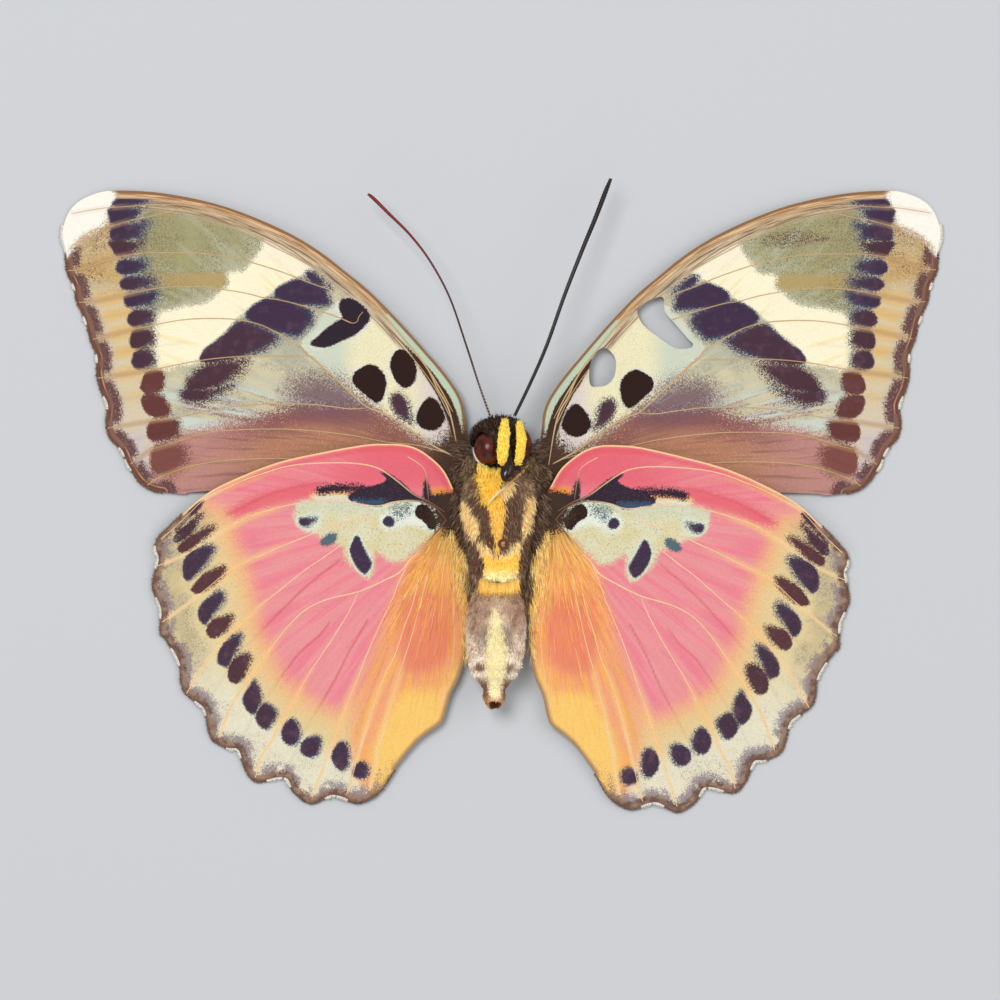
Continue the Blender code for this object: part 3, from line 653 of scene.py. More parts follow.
def polar_fields(mesh, wing_places, root):
    """Where a place lies round the wing's root, for streaks that run out along the wing."""
    out = wing_places - np.array(root)
    set_field(mesh, "turn", np.arctan2(out[:, 1], out[:, 0]))
    set_field(mesh, "reach", np.hypot(out[:, 0], out[:, 1]))


def paint_fields(mesh, photo_places, wing_places, wing):
    """Stores how deep each place lies in marks and zones, and how far off edges, veins and folds."""
    cover, tint = mark_cover(photo_places, wing["marks"])
    set_field(mesh, "mark", cover)
    set_field(mesh, "mark_tint", tint)
    for name, outline in wing["zones"].items():
        depth = depth_in(photo_places, smooth_line(outline, 2, True)) / PIXELS_PER_MM
        set_field(mesh, name, np.clip(depth, -12.0, 12.0))
    outline = smooth_line(wing["outline"], 2, True)
    for name, (first, last) in wing["edges"].items():
        stretch = outline[first * 2:last * 2 + 1]
        set_field(mesh, name, distance_to_line(wing_places, stretch))
    veins = [route for route, _, _ in wing["veins"].values()]
    set_field(mesh, "to_vein", near_lines(photo_places, veins) / PIXELS_PER_MM)
    set_field(mesh, "to_fold", near_lines(photo_places, wing["folds"]) / PIXELS_PER_MM)
    set_field(mesh, "photo_x", photo_places[:, 0] / 100)
    set_field(mesh, "photo_y", photo_places[:, 1] / 100)
    polar_fields(mesh, wing_places, wing["root"])


def make_membrane(name, wing, placement, under_material, upper_material, openings=()):
    """One wing: trimmed, bent to its heights with ridges and valleys, and given its paint fields."""
    border = moved(smooth_line(wing["outline"], OUTLINE_STEPS, True), placement)
    edges = [smooth_line(opening, OUTLINE_STEPS, True) for opening in openings]
    membrane = trimmed_membrane(name, border, edges)
    mesh = membrane.data
    places = places_of(mesh)
    wing_places = moved(places[:, :2] / MM, placement.inverted())
    photo_places = to_photo(wing_places, wing["midline"])
    places[:, 2] += rise_at(wing, wing_places, photo_places) * MM
    set_places(mesh, places)
    paint_fields(mesh, photo_places, wing_places, wing)
    dress(membrane, under_material, upper_material)
    for face in mesh.polygons:
        face.material_index = 1 if face.normal.z < -0.5 else 0
    select_only(membrane)
    bpy.ops.object.shade_smooth_by_angle(angle=math.radians(50))
    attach(membrane, "root")
    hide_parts(name)


def make_veins(name, wing, placement, material, openings=()):
    """The wing's veins as fine tapering tubes along its upper surface, joined in one piece."""
    curve = tube_curve(name, 1)
    for route, start_radius, end_radius in wing["veins"].values():
        photo_places = smooth_line(route, 5, False)
        wing_places = from_photo(photo_places, wing["midline"])
        rise = rise_at(wing, wing_places, photo_places)
        flat = moved(wing_places, placement)
        whole = np.ones(len(flat), bool)
        for opening in openings:
            whole &= depth_in(flat, smooth_line(opening, OUTLINE_STEPS, True)) < 0.05
        for run in np.split(np.arange(len(flat)), np.flatnonzero(np.diff(whole)) + 1):
            if len(run) < 2 or not whole[run[0]]:
                continue
            spline = curve.splines.new("POLY")
            spline.points.add(len(run) - 1)
            for number, point in zip(run, spline.points):
                share = number / (len(flat) - 1)
                radius = (start_radius + (end_radius - start_radius) * share) * min(1.0, 0.3 + 7.0 * share)
                lift = rise[number] + MEMBRANE / 2 - radius * 0.35
                point.co = (flat[number][0] * MM, flat[number][1] * MM, lift * MM, 1.0)
                point.radius = radius
    veins = tube_mesh(name, curve, material)
    wing_places = moved(places_of(veins.data)[:, :2] / MM, placement.inverted())
    depths, _ = mark_cover(to_photo(wing_places, wing["midline"]), wing["marks"])
    set_field(veins.data, "mark", depths)
    polar_fields(veins.data, wing_places, wing["root"])
    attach(veins, "root")


class Finish:
    """A Principled material that is painted in layers over a ground colour."""

    def __init__(self, name, ground, roughness, sheen=0.0):
        self.material = bpy.data.materials.new(name)
        self.material.use_nodes = True
        self.tree = self.material.node_tree
        self.shader = self.tree.nodes["Principled BSDF"]
        self.shader.inputs["Roughness"].default_value = roughness
        self.shader.inputs["Sheen Weight"].default_value = sheen
        self.shader.inputs["Specular IOR Level"].default_value = 0.15
        self.places = self.add("ShaderNodeTexCoord").outputs["Object"]
        self.colour = photo_colour(*ground)

    def add(self, kind, **settings):
        node = self.tree.nodes.new(kind)
        for setting, value in settings.items():
            setattr(node, setting, value)
        return node

    def feed(self, socket, value):
        """Joins a socket to a node's output, to a field by its name, or to a constant."""
        if isinstance(value, str):
            value = self.field(value)
        if isinstance(value, bpy.types.NodeSocket):
            self.tree.links.new(value, socket)
        else:
            socket.default_value = value

    def math(self, operation, first, second=0.0, third=0.0):
        node = self.add("ShaderNodeMath", operation=operation)
        for socket, value in zip(node.inputs, (first, second, third)):
            self.feed(socket, value)
        return node.outputs[0]

    def field(self, name):
        return self.add("ShaderNodeAttribute", attribute_name=name).outputs["Fac"]

    def step(self, value, low, high):
        """0 below low and 1 above high, or the other way where low is the higher."""
        node = self.add("ShaderNodeMapRange", interpolation_type="SMOOTHSTEP")
        flip = low > high
        self.feed(node.inputs["Value"], value)
        node.inputs["From Min"].default_value = high if flip else low
        node.inputs["From Max"].default_value = low if flip else high
        node.inputs["To Min"].default_value = 1.0 if flip else 0.0
        node.inputs["To Max"].default_value = 0.0 if flip else 1.0
        return node.outputs["Result"]

    def noise(self, size, detail=2.0, vector=None):
        """Soft noise whose patches measure about size millimetres."""
        node = self.add("ShaderNodeTexNoise")
        self.feed(node.inputs["Vector"], vector or self.places)
        node.inputs["Scale"].default_value = 1.0 / (size * MM) if vector is None else 1.0 / size
        node.inputs["Detail"].default_value = detail
        return node.outputs["Fac"]

    def draws(self, size):
        """Three chance values for every scale of about size millimetres."""
        node = self.add("ShaderNodeTexVoronoi", feature="F1")
        self.feed(node.inputs["Vector"], self.places)
        node.inputs["Scale"].default_value = 1.0 / (size * MM)
        split = self.add("ShaderNodeSeparateColor")
        self.feed(split.inputs[0], node.outputs["Color"])
        return split.outputs[0], split.outputs[1], split.outputs[2]

    def combine(self, x, y, z=0.0):
        node = self.add("ShaderNodeCombineXYZ")
        for socket, value in zip(node.inputs, (x, y, z)):
            self.feed(socket, value)
        return node.outputs[0]

    def streaks(self, across, along, detail=2.0):
        """Noise stretched along the wing: across is its width in degrees, along its length in mm."""
        turn = self.math("DIVIDE", self.field("turn"), math.radians(across))
        reach = self.math("DIVIDE", self.field("reach"), along)
        return self.noise(1.0, detail, self.combine(turn, reach))

    def grainy(self, cover, draw, grain=1.0, edge=0.15):
        """A share that turns scale by scale where cover, from 0 to 1, is in between."""
        chance = self.math("MULTIPLY_ADD", draw, grain, -0.5 * grain)
        return self.step(self.math("ADD", cover, chance), 0.5 - edge, 0.5 + edge)

    def zone(self, name, scatter, draw, grain=1.0, edge=0.15, shift=0.0):
        """Where a zone's scales lie: its border scatters over so many millimetres."""
        cover = self.math("MULTIPLY_ADD", self.field(name), 0.5 / scatter, 0.5 + shift)
        return self.grainy(cover, draw, grain, edge)

    def blend(self, first, second, *shares):
        """The first colour, turned to the second by the product of the shares."""
        node = self.add("ShaderNodeMix", data_type="RGBA")
        values = (self.both(*shares), first, second)
        for socket, value in zip((node.inputs[0], node.inputs[6], node.inputs[7]), values):
            is_colour = isinstance(value, tuple) and len(value) == 3
            self.feed(socket, photo_colour(*value) if is_colour else value)
        return node.outputs[2]

    def lay(self, colour, *shares):
        self.colour = self.blend(self.colour, colour, *shares)

    def both(self, *shares):
        """The product of the shares; a share is a value, or a value and the two levels it steps between."""
        steps = [self.step(*share) if isinstance(share, tuple) else share for share in shares]
        product = steps.pop()
        while steps:
            product = self.math("MULTIPLY", steps.pop(), product)
        return product

    def shade(self, value, low, high):
        """Multiplies the colour by a grey that runs from low to high with value."""
        grey = self.math("MULTIPLY_ADD", value, high - low, low)
        node = self.add("ShaderNodeMix", data_type="RGBA", blend_type="MULTIPLY")
        node.inputs[0].default_value = 1.0
        self.feed(node.inputs[6], self.colour)
        self.feed(node.inputs[7], grey)
        self.colour = node.outputs[2]

    def bump(self, height, depth):
        node = self.add("ShaderNodeBump")
        node.inputs["Strength"].default_value = 1.0
        node.inputs["Distance"].default_value = depth * MM
        self.feed(node.inputs["Height"], height)
        self.feed(self.shader.inputs["Normal"], node.outputs[0])

    def pits(self, size, depth):
        """A bump of small round cells that measure about size millimetres."""
        node = self.add("ShaderNodeTexVoronoi", feature="F1")
        self.feed(node.inputs["Vector"], self.places)
        node.inputs["Scale"].default_value = 1.0 / (size * MM)
        self.bump(node.outputs["Distance"], -depth)

    def done(self):
        self.feed(self.shader.inputs["Base Color"], self.colour)
        return self.material


def lay_marks(paint, draw, second_draw):
    """Dark marks of both wings: black, blue black, violet, violet brown and red brown."""
    lay, both, blend, step = paint.lay, paint.both, paint.blend, paint.step
    tint = paint.field("mark_tint")
    mottle = paint.noise(1.1, 3.0)
    dark = blend((44, 24, 20), (46, 34, 46), (tint, 0.1, 0.5))
    dark = blend(dark, (64, 46, 70), (tint, 0.6, 1.0))
    dark = blend(dark, (76, 48, 58), (tint, 1.2, 2.0))
    dark = blend(dark, (104, 58, 54), (tint, 2.1, 3.0))
    dark = blend(dark, (132, 78, 70), (tint, 3.2, 4.0))
    bluish = both((tint, 0.6, 1.0), (tint, 2.3, 1.4))
    rim = step("mark", 2.2, 0.3)
    blue = both((second_draw, 0.35, 0.6), rim, bluish)
    dark = blend(dark, (66, 82, 108), blue, 0.65)
    dark = blend(dark, (112, 80, 96), (mottle, 0.5, 0.75), (tint, 0.6, 1.5), 0.4)
    cover = paint.math("MULTIPLY_ADD", "mark", 0.5, 0.5)
    lay(dark, paint.grainy(cover, draw, 0.8, 0.2))
    powder = both(("mark", -1.6, -0.4), ("mark", 0.9, 0.1))
    powder = both(powder, bluish, (second_draw, 0.55, 0.7))
    lay((92, 112, 134), powder, 0.6)


def forewing_underside():
    paint = Finish("forewing_underside_scales", (208, 200, 168), 0.75, 0.04)
    lay, both, blend, zone, step = paint.lay, paint.both, paint.blend, paint.zone, paint.step
    draw, second, third = paint.draws(SCALE_SIZE)
    streak = paint.streaks(1.1, 7.0)
    fine_streak = paint.streaks(0.5, 4.0)
    wide_streak = paint.streaks(3.2, 16.0)
    patch = paint.noise(2.5, 3.0)
    outer = paint.field("outer_edge")
    front = paint.field("front_edge")
    across = paint.field("photo_x")
    level = paint.field("photo_y")
    to_vein = paint.field("to_vein")
    off_tip = step("tip", 0.2, -0.4)
    lay((190, 184, 158), (patch, 0.45, 0.7))
    lay((222, 204, 164), (streak, 0.48, 0.66), 0.75)
    lay((176, 180, 160), (wide_streak, 0.46, 0.62), 0.7)
    lay((168, 162, 144), (third, 0.7, 0.84), (patch, 0.4, 0.6))
    lay((206, 212, 200), (level, 3.72, 4.02), (wide_streak, 0.42, 0.6))
    violet = both((level, 3.78, 4.06), (streak, 0.5, 0.62))
    lay((150, 124, 132), violet, (second, 0.25, 0.6))
    near_vein = step(to_vein, 0.45, 0.12)
    strip = both((outer, 5.6, 4.4), (outer, 0.6, 1.2))
    lay((216, 200, 166), strip)
    ochre = paint.math("MAXIMUM", step(to_vein, 1.2, 0.3), step("to_fold", 1.0, 0.25))
    ochre = both(ochre, (level, 4.35, 3.5))
    lay((224, 184, 118), strip, ochre, 0.85)
    lay((198, 190, 178), (draw, 0.35, 0.6), strip, (outer, 2.4, 1.2))
    lay((216, 200, 180), strip, (level, 3.9, 4.3), 0.7)
    top = both(strip, (level, 3.05, 2.7))
    lay((192, 160, 108), top, (draw, 0.15, 0.45))
    lay((112, 82, 72), top, (second, 0.7, 0.82), (patch, 0.35, 0.6))
    lay((240, 232, 192), zone("cell", 0.25, draw, 0.7))
    inside_cell = step("cell", -0.15, 0.1)
    lay((206, 214, 196), inside_cell, (across, 3.62, 3.35))
    halo = both(("mark", -3.0, -1.2), ("mark_tint", 1.5, 1.0))
    lay((226, 226, 214), inside_cell, halo, (patch, 0.35, 0.6))
    lay((220, 208, 206), inside_cell, (across, 4.05, 4.35))
    lay((216, 206, 170), inside_cell, (third, 0.7, 0.9), 0.6)
    lay((252, 243, 210), zone("band", 0.3, second))
    in_band = step("band", 0.0, 0.4)
    lay((248, 234, 214), in_band, (front, 4.2, 2.4), (streak, 0.4, 0.6))
    lay((250, 226, 160), in_band, (streak, 0.56, 0.72), 0.75)
    green = blend((166, 160, 118), (180, 180, 150), (wide_streak, 0.42, 0.58))
    green = blend(green, (186, 184, 156), ("green", 0.9, 0.1))
    green = blend(green, (136, 126, 90), (third, 0.66, 0.8), (patch, 0.3, 0.55))
    in_green = zone("green", 0.35, draw)
    lay(green, in_green)
    lay((180, 158, 106), zone("olive", 0.3, second), in_green)
    speckled = both(("speckles", 0.02, 0.6), (third, 0.45, 0.6))
    lay((108, 86, 80), speckled, (patch, 0.3, 0.5))
    lay((104, 84, 70), (second, 0.66, 0.8), ("green", 0.0, 0.8), (outer, 13.0, 5.0))
    haze = both(("tip", -1.2, 0.4), (third, 0.2, 0.6))
    lay((196, 184, 172), haze)
    lay((252, 247, 234), zone("tip", 0.45, draw))
    brown = blend((142, 90, 88), (182, 126, 98), ("brown", 1.0, 3.4))
    brown = blend(brown, (188, 134, 126), (across, 2.8, 1.9))
    brown = blend(brown, (150, 98, 84), (across, 3.6, 4.0))
    brown = blend(brown, (84, 60, 46), (across, 4.1, 4.5))
    brown = blend(brown, (204, 160, 130), (second, 0.86, 0.96), 0.8)
    brown = blend(brown, (122, 82, 82), (streak, 0.5, 0.7), 0.5)
    lay(brown, zone("brown", 0.7, draw))
    lay((116, 86, 96), zone("smudge", 1.5, second, 0.8, 0.35, 0.25), 0.9)
    lay((206, 192, 192), zone("lilac", 0.5, draw), (second, 0.1, 0.4))
    grain = paint.noise(1.0, 3.0, paint.combine(both(front, 7.0), both("reach", 0.25)))
    shoulder = both((front, 2.1, 1.4), off_tip)
    lay((208, 182, 150), shoulder, 0.75)
    lay((120, 90, 72), shoulder, (grain, 0.44, 0.6), 0.85)
    lay_marks(paint, draw, second)
    near_vein = both(near_vein, paint.math("MAXIMUM", off_tip, 0.3))
    lay((176, 138, 100), near_vein, (outer, 8.0, 5.0), 0.45)
    shade = both((outer, 1.9, 1.0), (to_vein, -0.2, 0.8))
    lay((104, 70, 72), paint.grainy(both(shade, off_tip, 0.9), third, 0.8))
    brown_edge = blend((134, 96, 80), (104, 66, 58), (patch, 0.4, 0.6))
    lay(brown_edge, (outer, 0.72, 0.5), off_tip)
    line = both((outer, 0.3, 0.4), (outer, 0.55, 0.45))
    lay((184, 144, 112), line, off_tip, (patch, 0.4, 0.7))
    lay((116, 76, 62), (outer, 0.22, 0.1), off_tip)
    costa = blend((168, 124, 88), (226, 192, 150), (grain, 0.42, 0.6))
    lay(costa, (front, 0.9, 0.65), off_tip)
    lay((188, 206, 180), zone("mint", 0.12, draw, 0.5))
    lay((64, 44, 32), zone("black_strip", 0.12, second, 0.5))
    lay((146, 106, 70), (front, 0.35, 0.2), off_tip)
    base = step("reach", 4.4, 1.2)
    lay((78, 56, 42), paint.grainy(base, second, 0.8))
    paint.shade(draw, 0.95, 1.04)
    paint.shade(fine_streak, 0.97, 1.03)
    paint.shade(step("to_fold", 0.0, 0.3), 0.93, 1.0)
    paint.bump(paint.math("ADD", draw, both(streak, 2.0)), 0.012)
    return paint.done()


def hindwing_underside():
    paint = Finish("hindwing_underside_scales", (228, 208, 156), 0.75, 0.05)
    lay, both, blend, zone, step = paint.lay, paint.both, paint.blend, paint.zone, paint.step
    draw, second, third = paint.draws(SCALE_SIZE)
    streak = paint.streaks(1.0, 8.0)
    fine_streak = paint.streaks(0.45, 5.0)
    wide_streak = paint.streaks(3.0, 14.0)
    patch = paint.noise(2.2, 3.0)
    across = paint.field("photo_x")
    level = paint.field("photo_y")
    outer = paint.field("outer_edge")
    to_vein = paint.field("to_vein")
    front = paint.field("front_edge")
    pale_low = both((level, 6.3, 7.3), (outer, 5.4, 3.0))
    lay((236, 234, 210), pale_low)
    pale_high = both((level, 7.1, 6.2), (outer, 3.4, 2.0))
    lay((208, 190, 146), pale_high)
    dusty = both(both((outer, 4.0, 2.4), (outer, 0.6, 1.4)), (draw, 0.45, 0.7), (patch, 0.38, 0.6))
    lay((168, 156, 136), dusty)
    pink = blend((236, 150, 152), (238, 132, 146), (wide_streak, 0.4, 0.62))
    far = step("reach", 9.0, 16.0)
    costal = both((level, 5.1, 4.75), paint.math("SUBTRACT", 1.0, both(far, 0.6)))
    pink = blend(pink, (232, 106, 120), costal)
    pink = blend(pink, (244, 164, 170), 0.4, (streak, 0.45, 0.7), far)
    pink = blend(pink, (226, 96, 108), ("to_fold", 0.18, 0.04), 0.6)
    lay((244, 184, 124), zone("pink", 2.6, second, 0.4, 0.4, 0.22))
    lay(pink, zone("pink", 1.4, draw, 0.5, 0.4, -0.05))
    orange = blend((244, 164, 124), (246, 176, 92), (streak, 0.45, 0.6))
    lay(orange, zone("orange", 1.4, second, 0.4, 0.4))
    lay((240, 150, 122), zone("coral", 1.0, draw, 0.4, 0.4))
    lay((252, 204, 112), zone("yellow", 1.0, second, 0.4, 0.4))
    rim = both((to_vein, 0.6, 0.1), (outer, 13.0, 6.0))
    lay((247, 198, 128), rim, (outer, 3.2, 6.0), 0.75)
    off_tail = step(paint.math("MAXIMUM", "yellow", "orange"), 0.2, -0.8)
    lay((230, 222, 196), (second, 0.1, 0.5), pale_low, off_tail)
    lay((244, 214, 156), (to_vein, 0.3, 0.08), (outer, 6.0, 4.0), 0.7)
    reach = paint.field("reach")
    hairy = both(("orange", -0.6, 1.0), (reach, 26.0, 12.0))
    lay((248, 178, 70), hairy, (fine_streak, 0.54, 0.66))
    lay((224, 134, 76), hairy, (fine_streak, 0.42, 0.34), 0.55)
    lay((234, 132, 100), ("coral", -0.8, 1.0), 0.75)
    lay((230, 96, 108), zone("coral_front", 0.8, draw, 0.5, 0.3), 0.8)
    root_band = both((level, 4.83, 4.92), (across, 4.24, 4.38))
    lay((240, 156, 66), root_band, (level, 5.0, 4.96))
    lay((206, 158, 84), (reach, 6.5, 3.5), (level, 5.02, 5.2))
    lay((246, 196, 120), zone("under_tail", 0.3, second))
    pale = blend((224, 214, 168), (226, 222, 188), (patch, 0.4, 0.6))
    pale = blend(pale, (206, 216, 194), (level, 5.2, 5.04), 0.6)
    pale = blend(pale, (176, 168, 140), (third, 0.86, 0.94), 0.7)
    lay(pale, zone("pale", 0.4, draw, 0.7, 0.25))
    lay((236, 242, 232), zone("white_rim", 0.35, second, 0.8), 0.85)
    halo = both(("mark", -3.0, -0.5), ("pale", -0.6, -0.1))
    lay((222, 234, 214), halo, 0.8)
    lay_marks(paint, draw, second)
    lay((92, 116, 124), zone("blue", 0.4, draw), (third, 0.35, 0.5))
    lay((58, 88, 118), zone("blue_edge", 0.25, second), 0.85)
    lay((84, 108, 118), zone("blue_spot", 0.15, draw))
    low_part = step(level, 5.3, 5.45)
    lunule = both((outer, 1.9, 0.8), (paint.noise(1.6, 2.0), 0.3, 0.5))
    lunule = both(lunule, (to_vein, -0.1, 0.7), low_part)
    off_corner = paint.math("MAXIMUM", step(across, 3.88, 3.68), 0.12)
    lunule = both(lunule, off_corner)
    lay((138, 122, 132), paint.grainy(lunule, third, 0.9), 0.85)
    rough = both(paint.noise(0.7, 3.0), 0.7)
    band = blend((156, 128, 108), (112, 84, 76), (paint.noise(0.8, 3.0), 0.4, 0.62))
    rough_outer = paint.math("ADD", outer, paint.math("SUBTRACT", rough, 0.38))
    margin = both((rough_outer, 0.95, 0.35), off_corner)
    lay(band, paint.grainy(margin, draw, 0.9))
    lay((108, 78, 64), (rough_outer, 0.25, 0.05), 0.6)
    inner = paint.field("inner_edge")
    lay((168, 132, 98), (inner, 0.6, 0.1), (level, 6.0, 6.6))
    lay((250, 206, 150), (front, 0.22, 0.08))
    red_front = both((front, 1.0, 0.5), (front, 0.2, 0.4))
    lay((226, 92, 100), red_front, (across, 2.0, 2.5), 0.6)
    lay((66, 48, 38), paint.grainy(both((reach, 3.8, 1.4), (level, 4.86, 4.96)), second, 0.8))
    paint.shade(draw, 0.96, 1.04)
    paint.shade(fine_streak, 0.95, 1.04)
    paint.shade(step("to_fold", 0.0, 0.3), 0.93, 1.0)
    paint.bump(paint.math("ADD", draw, both(fine_streak, 2.0)), 0.012)
    return paint.done()


def wing_upperside(name, ground, green_with_painted_sheen):
    """The upper sides, which face down, in the dark scales that such butterflies have there."""
    paint = Finish(name, ground, 0.6, 0.1)
    draw, second, third = paint.draws(SCALE_SIZE)
    streak = paint.streaks(1.4, 9.0)
    # Blue-green scales towards the root, their metallic sheen painted into the colour
    paint.lay(green_with_painted_sheen, ("reach", 30.0, 6.0), (streak, 0.4, 0.6))
    paint.lay((30, 22, 18), ("outer_edge", 5.0, 1.5))
    paint.lay((230, 220, 190), (second, 0.97, 0.99), 0.4)
    paint.shade(draw, 0.85, 1.1)
    paint.bump(third, 0.01)
    return paint.done()


def vein_finish(name, colour, root_colour):
    paint = Finish(name, colour, 0.55)
    draw, second, _ = paint.draws(0.12)
    paint.lay(root_colour, ("reach", 7.0, 2.5))
    paint.lay((150, 112, 78), ("mark", -0.3, 0.6), 0.35)
    paint.shade(draw, 0.88, 1.05)
    paint.bump(second, 0.006)
    return paint.done()


FOREWING_SHAPE = {
    "outline": FOREWING_OUTLINE, "midline": FOREWING_MIDLINE, "height": forewing_height,
    "veins": FOREWING_VEINS, "folds": FOREWING_FOLDS, "zones": FOREWING_ZONES,
    "edges": {"front_edge": FOREWING_FRONT, "outer_edge": FOREWING_OUTER}, "root": (3.8, 4.0),
}
HINDWING_SHAPE = {
    "outline": HINDWING_OUTLINE, "midline": HINDWING_MIDLINE, "height": hindwing_height,
    "veins": HINDWING_VEINS, "folds": HINDWING_FOLDS, "zones": HINDWING_ZONES,
    "edges": {"front_edge": HINDWING_FRONT, "outer_edge": HINDWING_OUTER,
              "inner_edge": HINDWING_INNER},
    "root": (4.4, -1.6), "marks": HINDWING_MARKS,
}


def forewing_placement(side):
    if side == "left":
        return wing_placement(-1, FOREWING_MIDLINE)
    return wing_placement(1, FOREWING_MIDLINE, RIGHT_FOREWING_TURN, RIGHT_FOREWING_PIVOT)


def hindwing_placement(side):
    if side == "left":
        return wing_placement(-1, HINDWING_MIDLINE)
    return wing_placement(
        1, HINDWING_MIDLINE, RIGHT_HINDWING_TURN, RIGHT_HINDWING_PIVOT, RIGHT_HINDWING_SIZE
    )


def make_wings():
    finishes = {
        "forewing": (forewing_underside(),
                     wing_upperside("forewing_upperside_scales", (46, 36, 26), (58, 72, 60)),
                     vein_finish("forewing_vein_skin", (206, 172, 126), (206, 176, 136))),
        "hindwing": (hindwing_underside(),
                     wing_upperside("hindwing_upperside_scales", (50, 40, 30), (60, 92, 96)),
                     vein_finish("hindwing_vein_skin", (250, 210, 170), (128, 94, 66))),
    }
    fringe = fringe_finish()
    left_forewing = {**FOREWING_SHAPE, "marks": FOREWING_MARKS + CELL_MARKS + LEFT_ONLY_CELL_MARKS}
    right_forewing = {**FOREWING_SHAPE, "marks": FOREWING_MARKS + CELL_MARKS,
                      "zones": {**FOREWING_ZONES, "speckles": RIGHT_ONLY_SPECKLES}}
    for kind, side, wing, placement, openings, dips, seed in (
        ("forewing", "left", left_forewing, forewing_placement, (), FOREWING_WHITE_DIPS, 3),
        ("hindwing", "left", HINDWING_SHAPE, hindwing_placement, (), HINDWING_WHITE_DIPS, 5),
        ("forewing", "right", right_forewing, forewing_placement, (LONG_OPENING, ROUND_OPENING),
         FOREWING_WHITE_DIPS, 4),
        ("hindwing", "right", HINDWING_SHAPE, hindwing_placement, (), HINDWING_WHITE_DIPS, 6),
    ):
        name = kind + "_" + side
        place = placement(side)
        under, upper, vein = finishes[kind]
        make_membrane(name, wing, place, under, upper, openings)
        make_veins(name + "_veins", wing, place, vein, openings)
        make_wing_fringe(name + "_fringe", wing, place, dips, fringe, seed)


# The body's routes, as in the solids: x, y, z and radius in millimetres
LEFT_ANTENNA = [
    (-1.25, 7.75, 4.3, 0.11), (-2.4, 11.0, 4.5, 0.1), (-3.6, 14.7, 4.6, 0.1), (-5.3, 19.6, 4.5, 0.1),
    (-7.3, 23.3, 4.3, 0.11), (-9.3, 25.9, 4.1, 0.13), (-11.3, 27.9, 3.9, 0.16), (-12.8, 29.4, 3.7, 0.18),
    (-13.4, 29.9, 3.6, 0.14),
]
RIGHT_ANTENNA = [
    (1.15, 7.85, 4.3, 0.16), (2.9, 11.5, 4.6, 0.17), (4.4, 15.0, 4.8, 0.18), (6.1, 19.8, 4.8, 0.19),
    (7.9, 24.4, 4.6, 0.21), (9.1, 27.3, 4.4, 0.23), (10.1, 29.9, 4.2, 0.24), (10.7, 31.4, 4.1, 0.16),
]
# Length of one ring of an antenna, and how far an antenna reaches up the picture
ANTENNA_RING = 0.3
ANTENNA_HEIGHT = 22.0

# The body's midline in the photograph's pixels
BODY_MIDLINE = 499.5

# Coloured zones of the body, outlined in the photograph's pixels
BODY_ZONES = {
    "yellow": [[(478, 464), (490, 464), (501, 466), (503, 474), (502, 482), (499, 490), (501, 498),
        (505, 506), (504, 516), (503, 527), (502, 538), (499, 550), (496, 550), (495, 538), (492, 524),
        (491, 512), (488, 505), (484, 502), (482, 494), (481, 484), (478, 474)]],
    "cream": [[(460, 499), (464, 496), (470, 502), (475, 512), (480, 522), (479, 534), (476, 538),
        (470, 532), (466, 520), (462, 510)], [(524, 497), (531, 494), (534, 497), (532, 508), (529, 520),
        (524, 536), (521, 534), (521, 520), (523, 508)], [(478, 540), (483, 539), (489, 547), (495, 552),
        (503, 552), (509, 548), (513, 540), (519, 537), (520, 546), (514, 555), (500, 560), (485, 557)],
        [(500, 488), (508, 480), (513, 482), (510, 492), (503, 500), (496, 506), (491, 503)]],
    "dark": [[(476, 494), (482, 497), (485, 504), (492, 511), (494, 524), (495, 536), (489, 543),
        (482, 533), (479, 520), (474, 508), (470, 499)], [(506, 502), (509, 492), (516, 492), (522, 502),
        (521, 515), (520, 530), (517, 538), (507, 540), (503, 530), (504, 515)], [(464, 535), (474, 540),
        (479, 545), (483, 556), (484, 574), (477, 570), (470, 558), (465, 546)], [(521, 540), (528, 530),
        (535, 524), (532, 542), (526, 556), (520, 566), (518, 556)]],
    "block": [[(484, 552), (492, 554), (500, 555), (510, 553), (518, 551), (518, 562), (517, 573),
        (514, 581), (504, 581), (498, 579), (490, 580), (483, 576), (485, 564)]],
    "fringe": [[(480, 578), (490, 582), (500, 581), (518, 578), (518, 586), (516, 597), (500, 596),
        (481, 597), (480, 588)]],
}
# The abdomen's middle stripe, its dark spots, its brown front and the opening at its tip
ABDOMEN_ZONES = {
    "stripe": [[(494, 607), (499, 610), (503, 630), (506, 648), (506, 662), (504, 676), (500, 690),
        (497, 700), (492, 700), (489, 688), (487, 674), (486, 660), (486, 645), (489, 628)]],
    "spots": [[(476, 662), (482, 661), (486, 665), (484, 669), (477, 668)], [(504, 664), (508, 661),
        (513, 663), (512, 668), (506, 670)]],
    "brown": [[(470, 592), (484, 590), (500, 598), (514, 590), (524, 592), (524, 622), (512, 630),
        (506, 618), (499, 606), (490, 610), (486, 626), (476, 634), (468, 620)]],
    "opening": [[(489, 701), (494, 699), (501, 701), (499, 707), (495, 710), (491, 707)]],
}


def photo_of_body(places):
    """Where places of the body, in millimetres, lie in the photograph."""
    return np.column_stack([
        PHOTO_MIDDLE[0] + places[:, 0] * PIXELS_PER_MM,
        PHOTO_MIDDLE[1] - places[:, 1] * PIXELS_PER_MM,
    ])


def places_in_body(photo_places, rise):
    """Places of the photograph as X, Y and the given height, in millimetres."""
    return np.column_stack([
        (photo_places[:, 0] - PHOTO_MIDDLE[0]) / PIXELS_PER_MM,
        (PHOTO_MIDDLE[1] - photo_places[:, 1]) / PIXELS_PER_MM,
        rise,
    ])


def zone_depths(photo_places, outlines):
    depth = np.full(len(photo_places), -99.0)
    for outline in outlines:
        depth = np.maximum(depth, depth_in(photo_places, smooth_line(outline, 2, True)))
    return depth / PIXELS_PER_MM


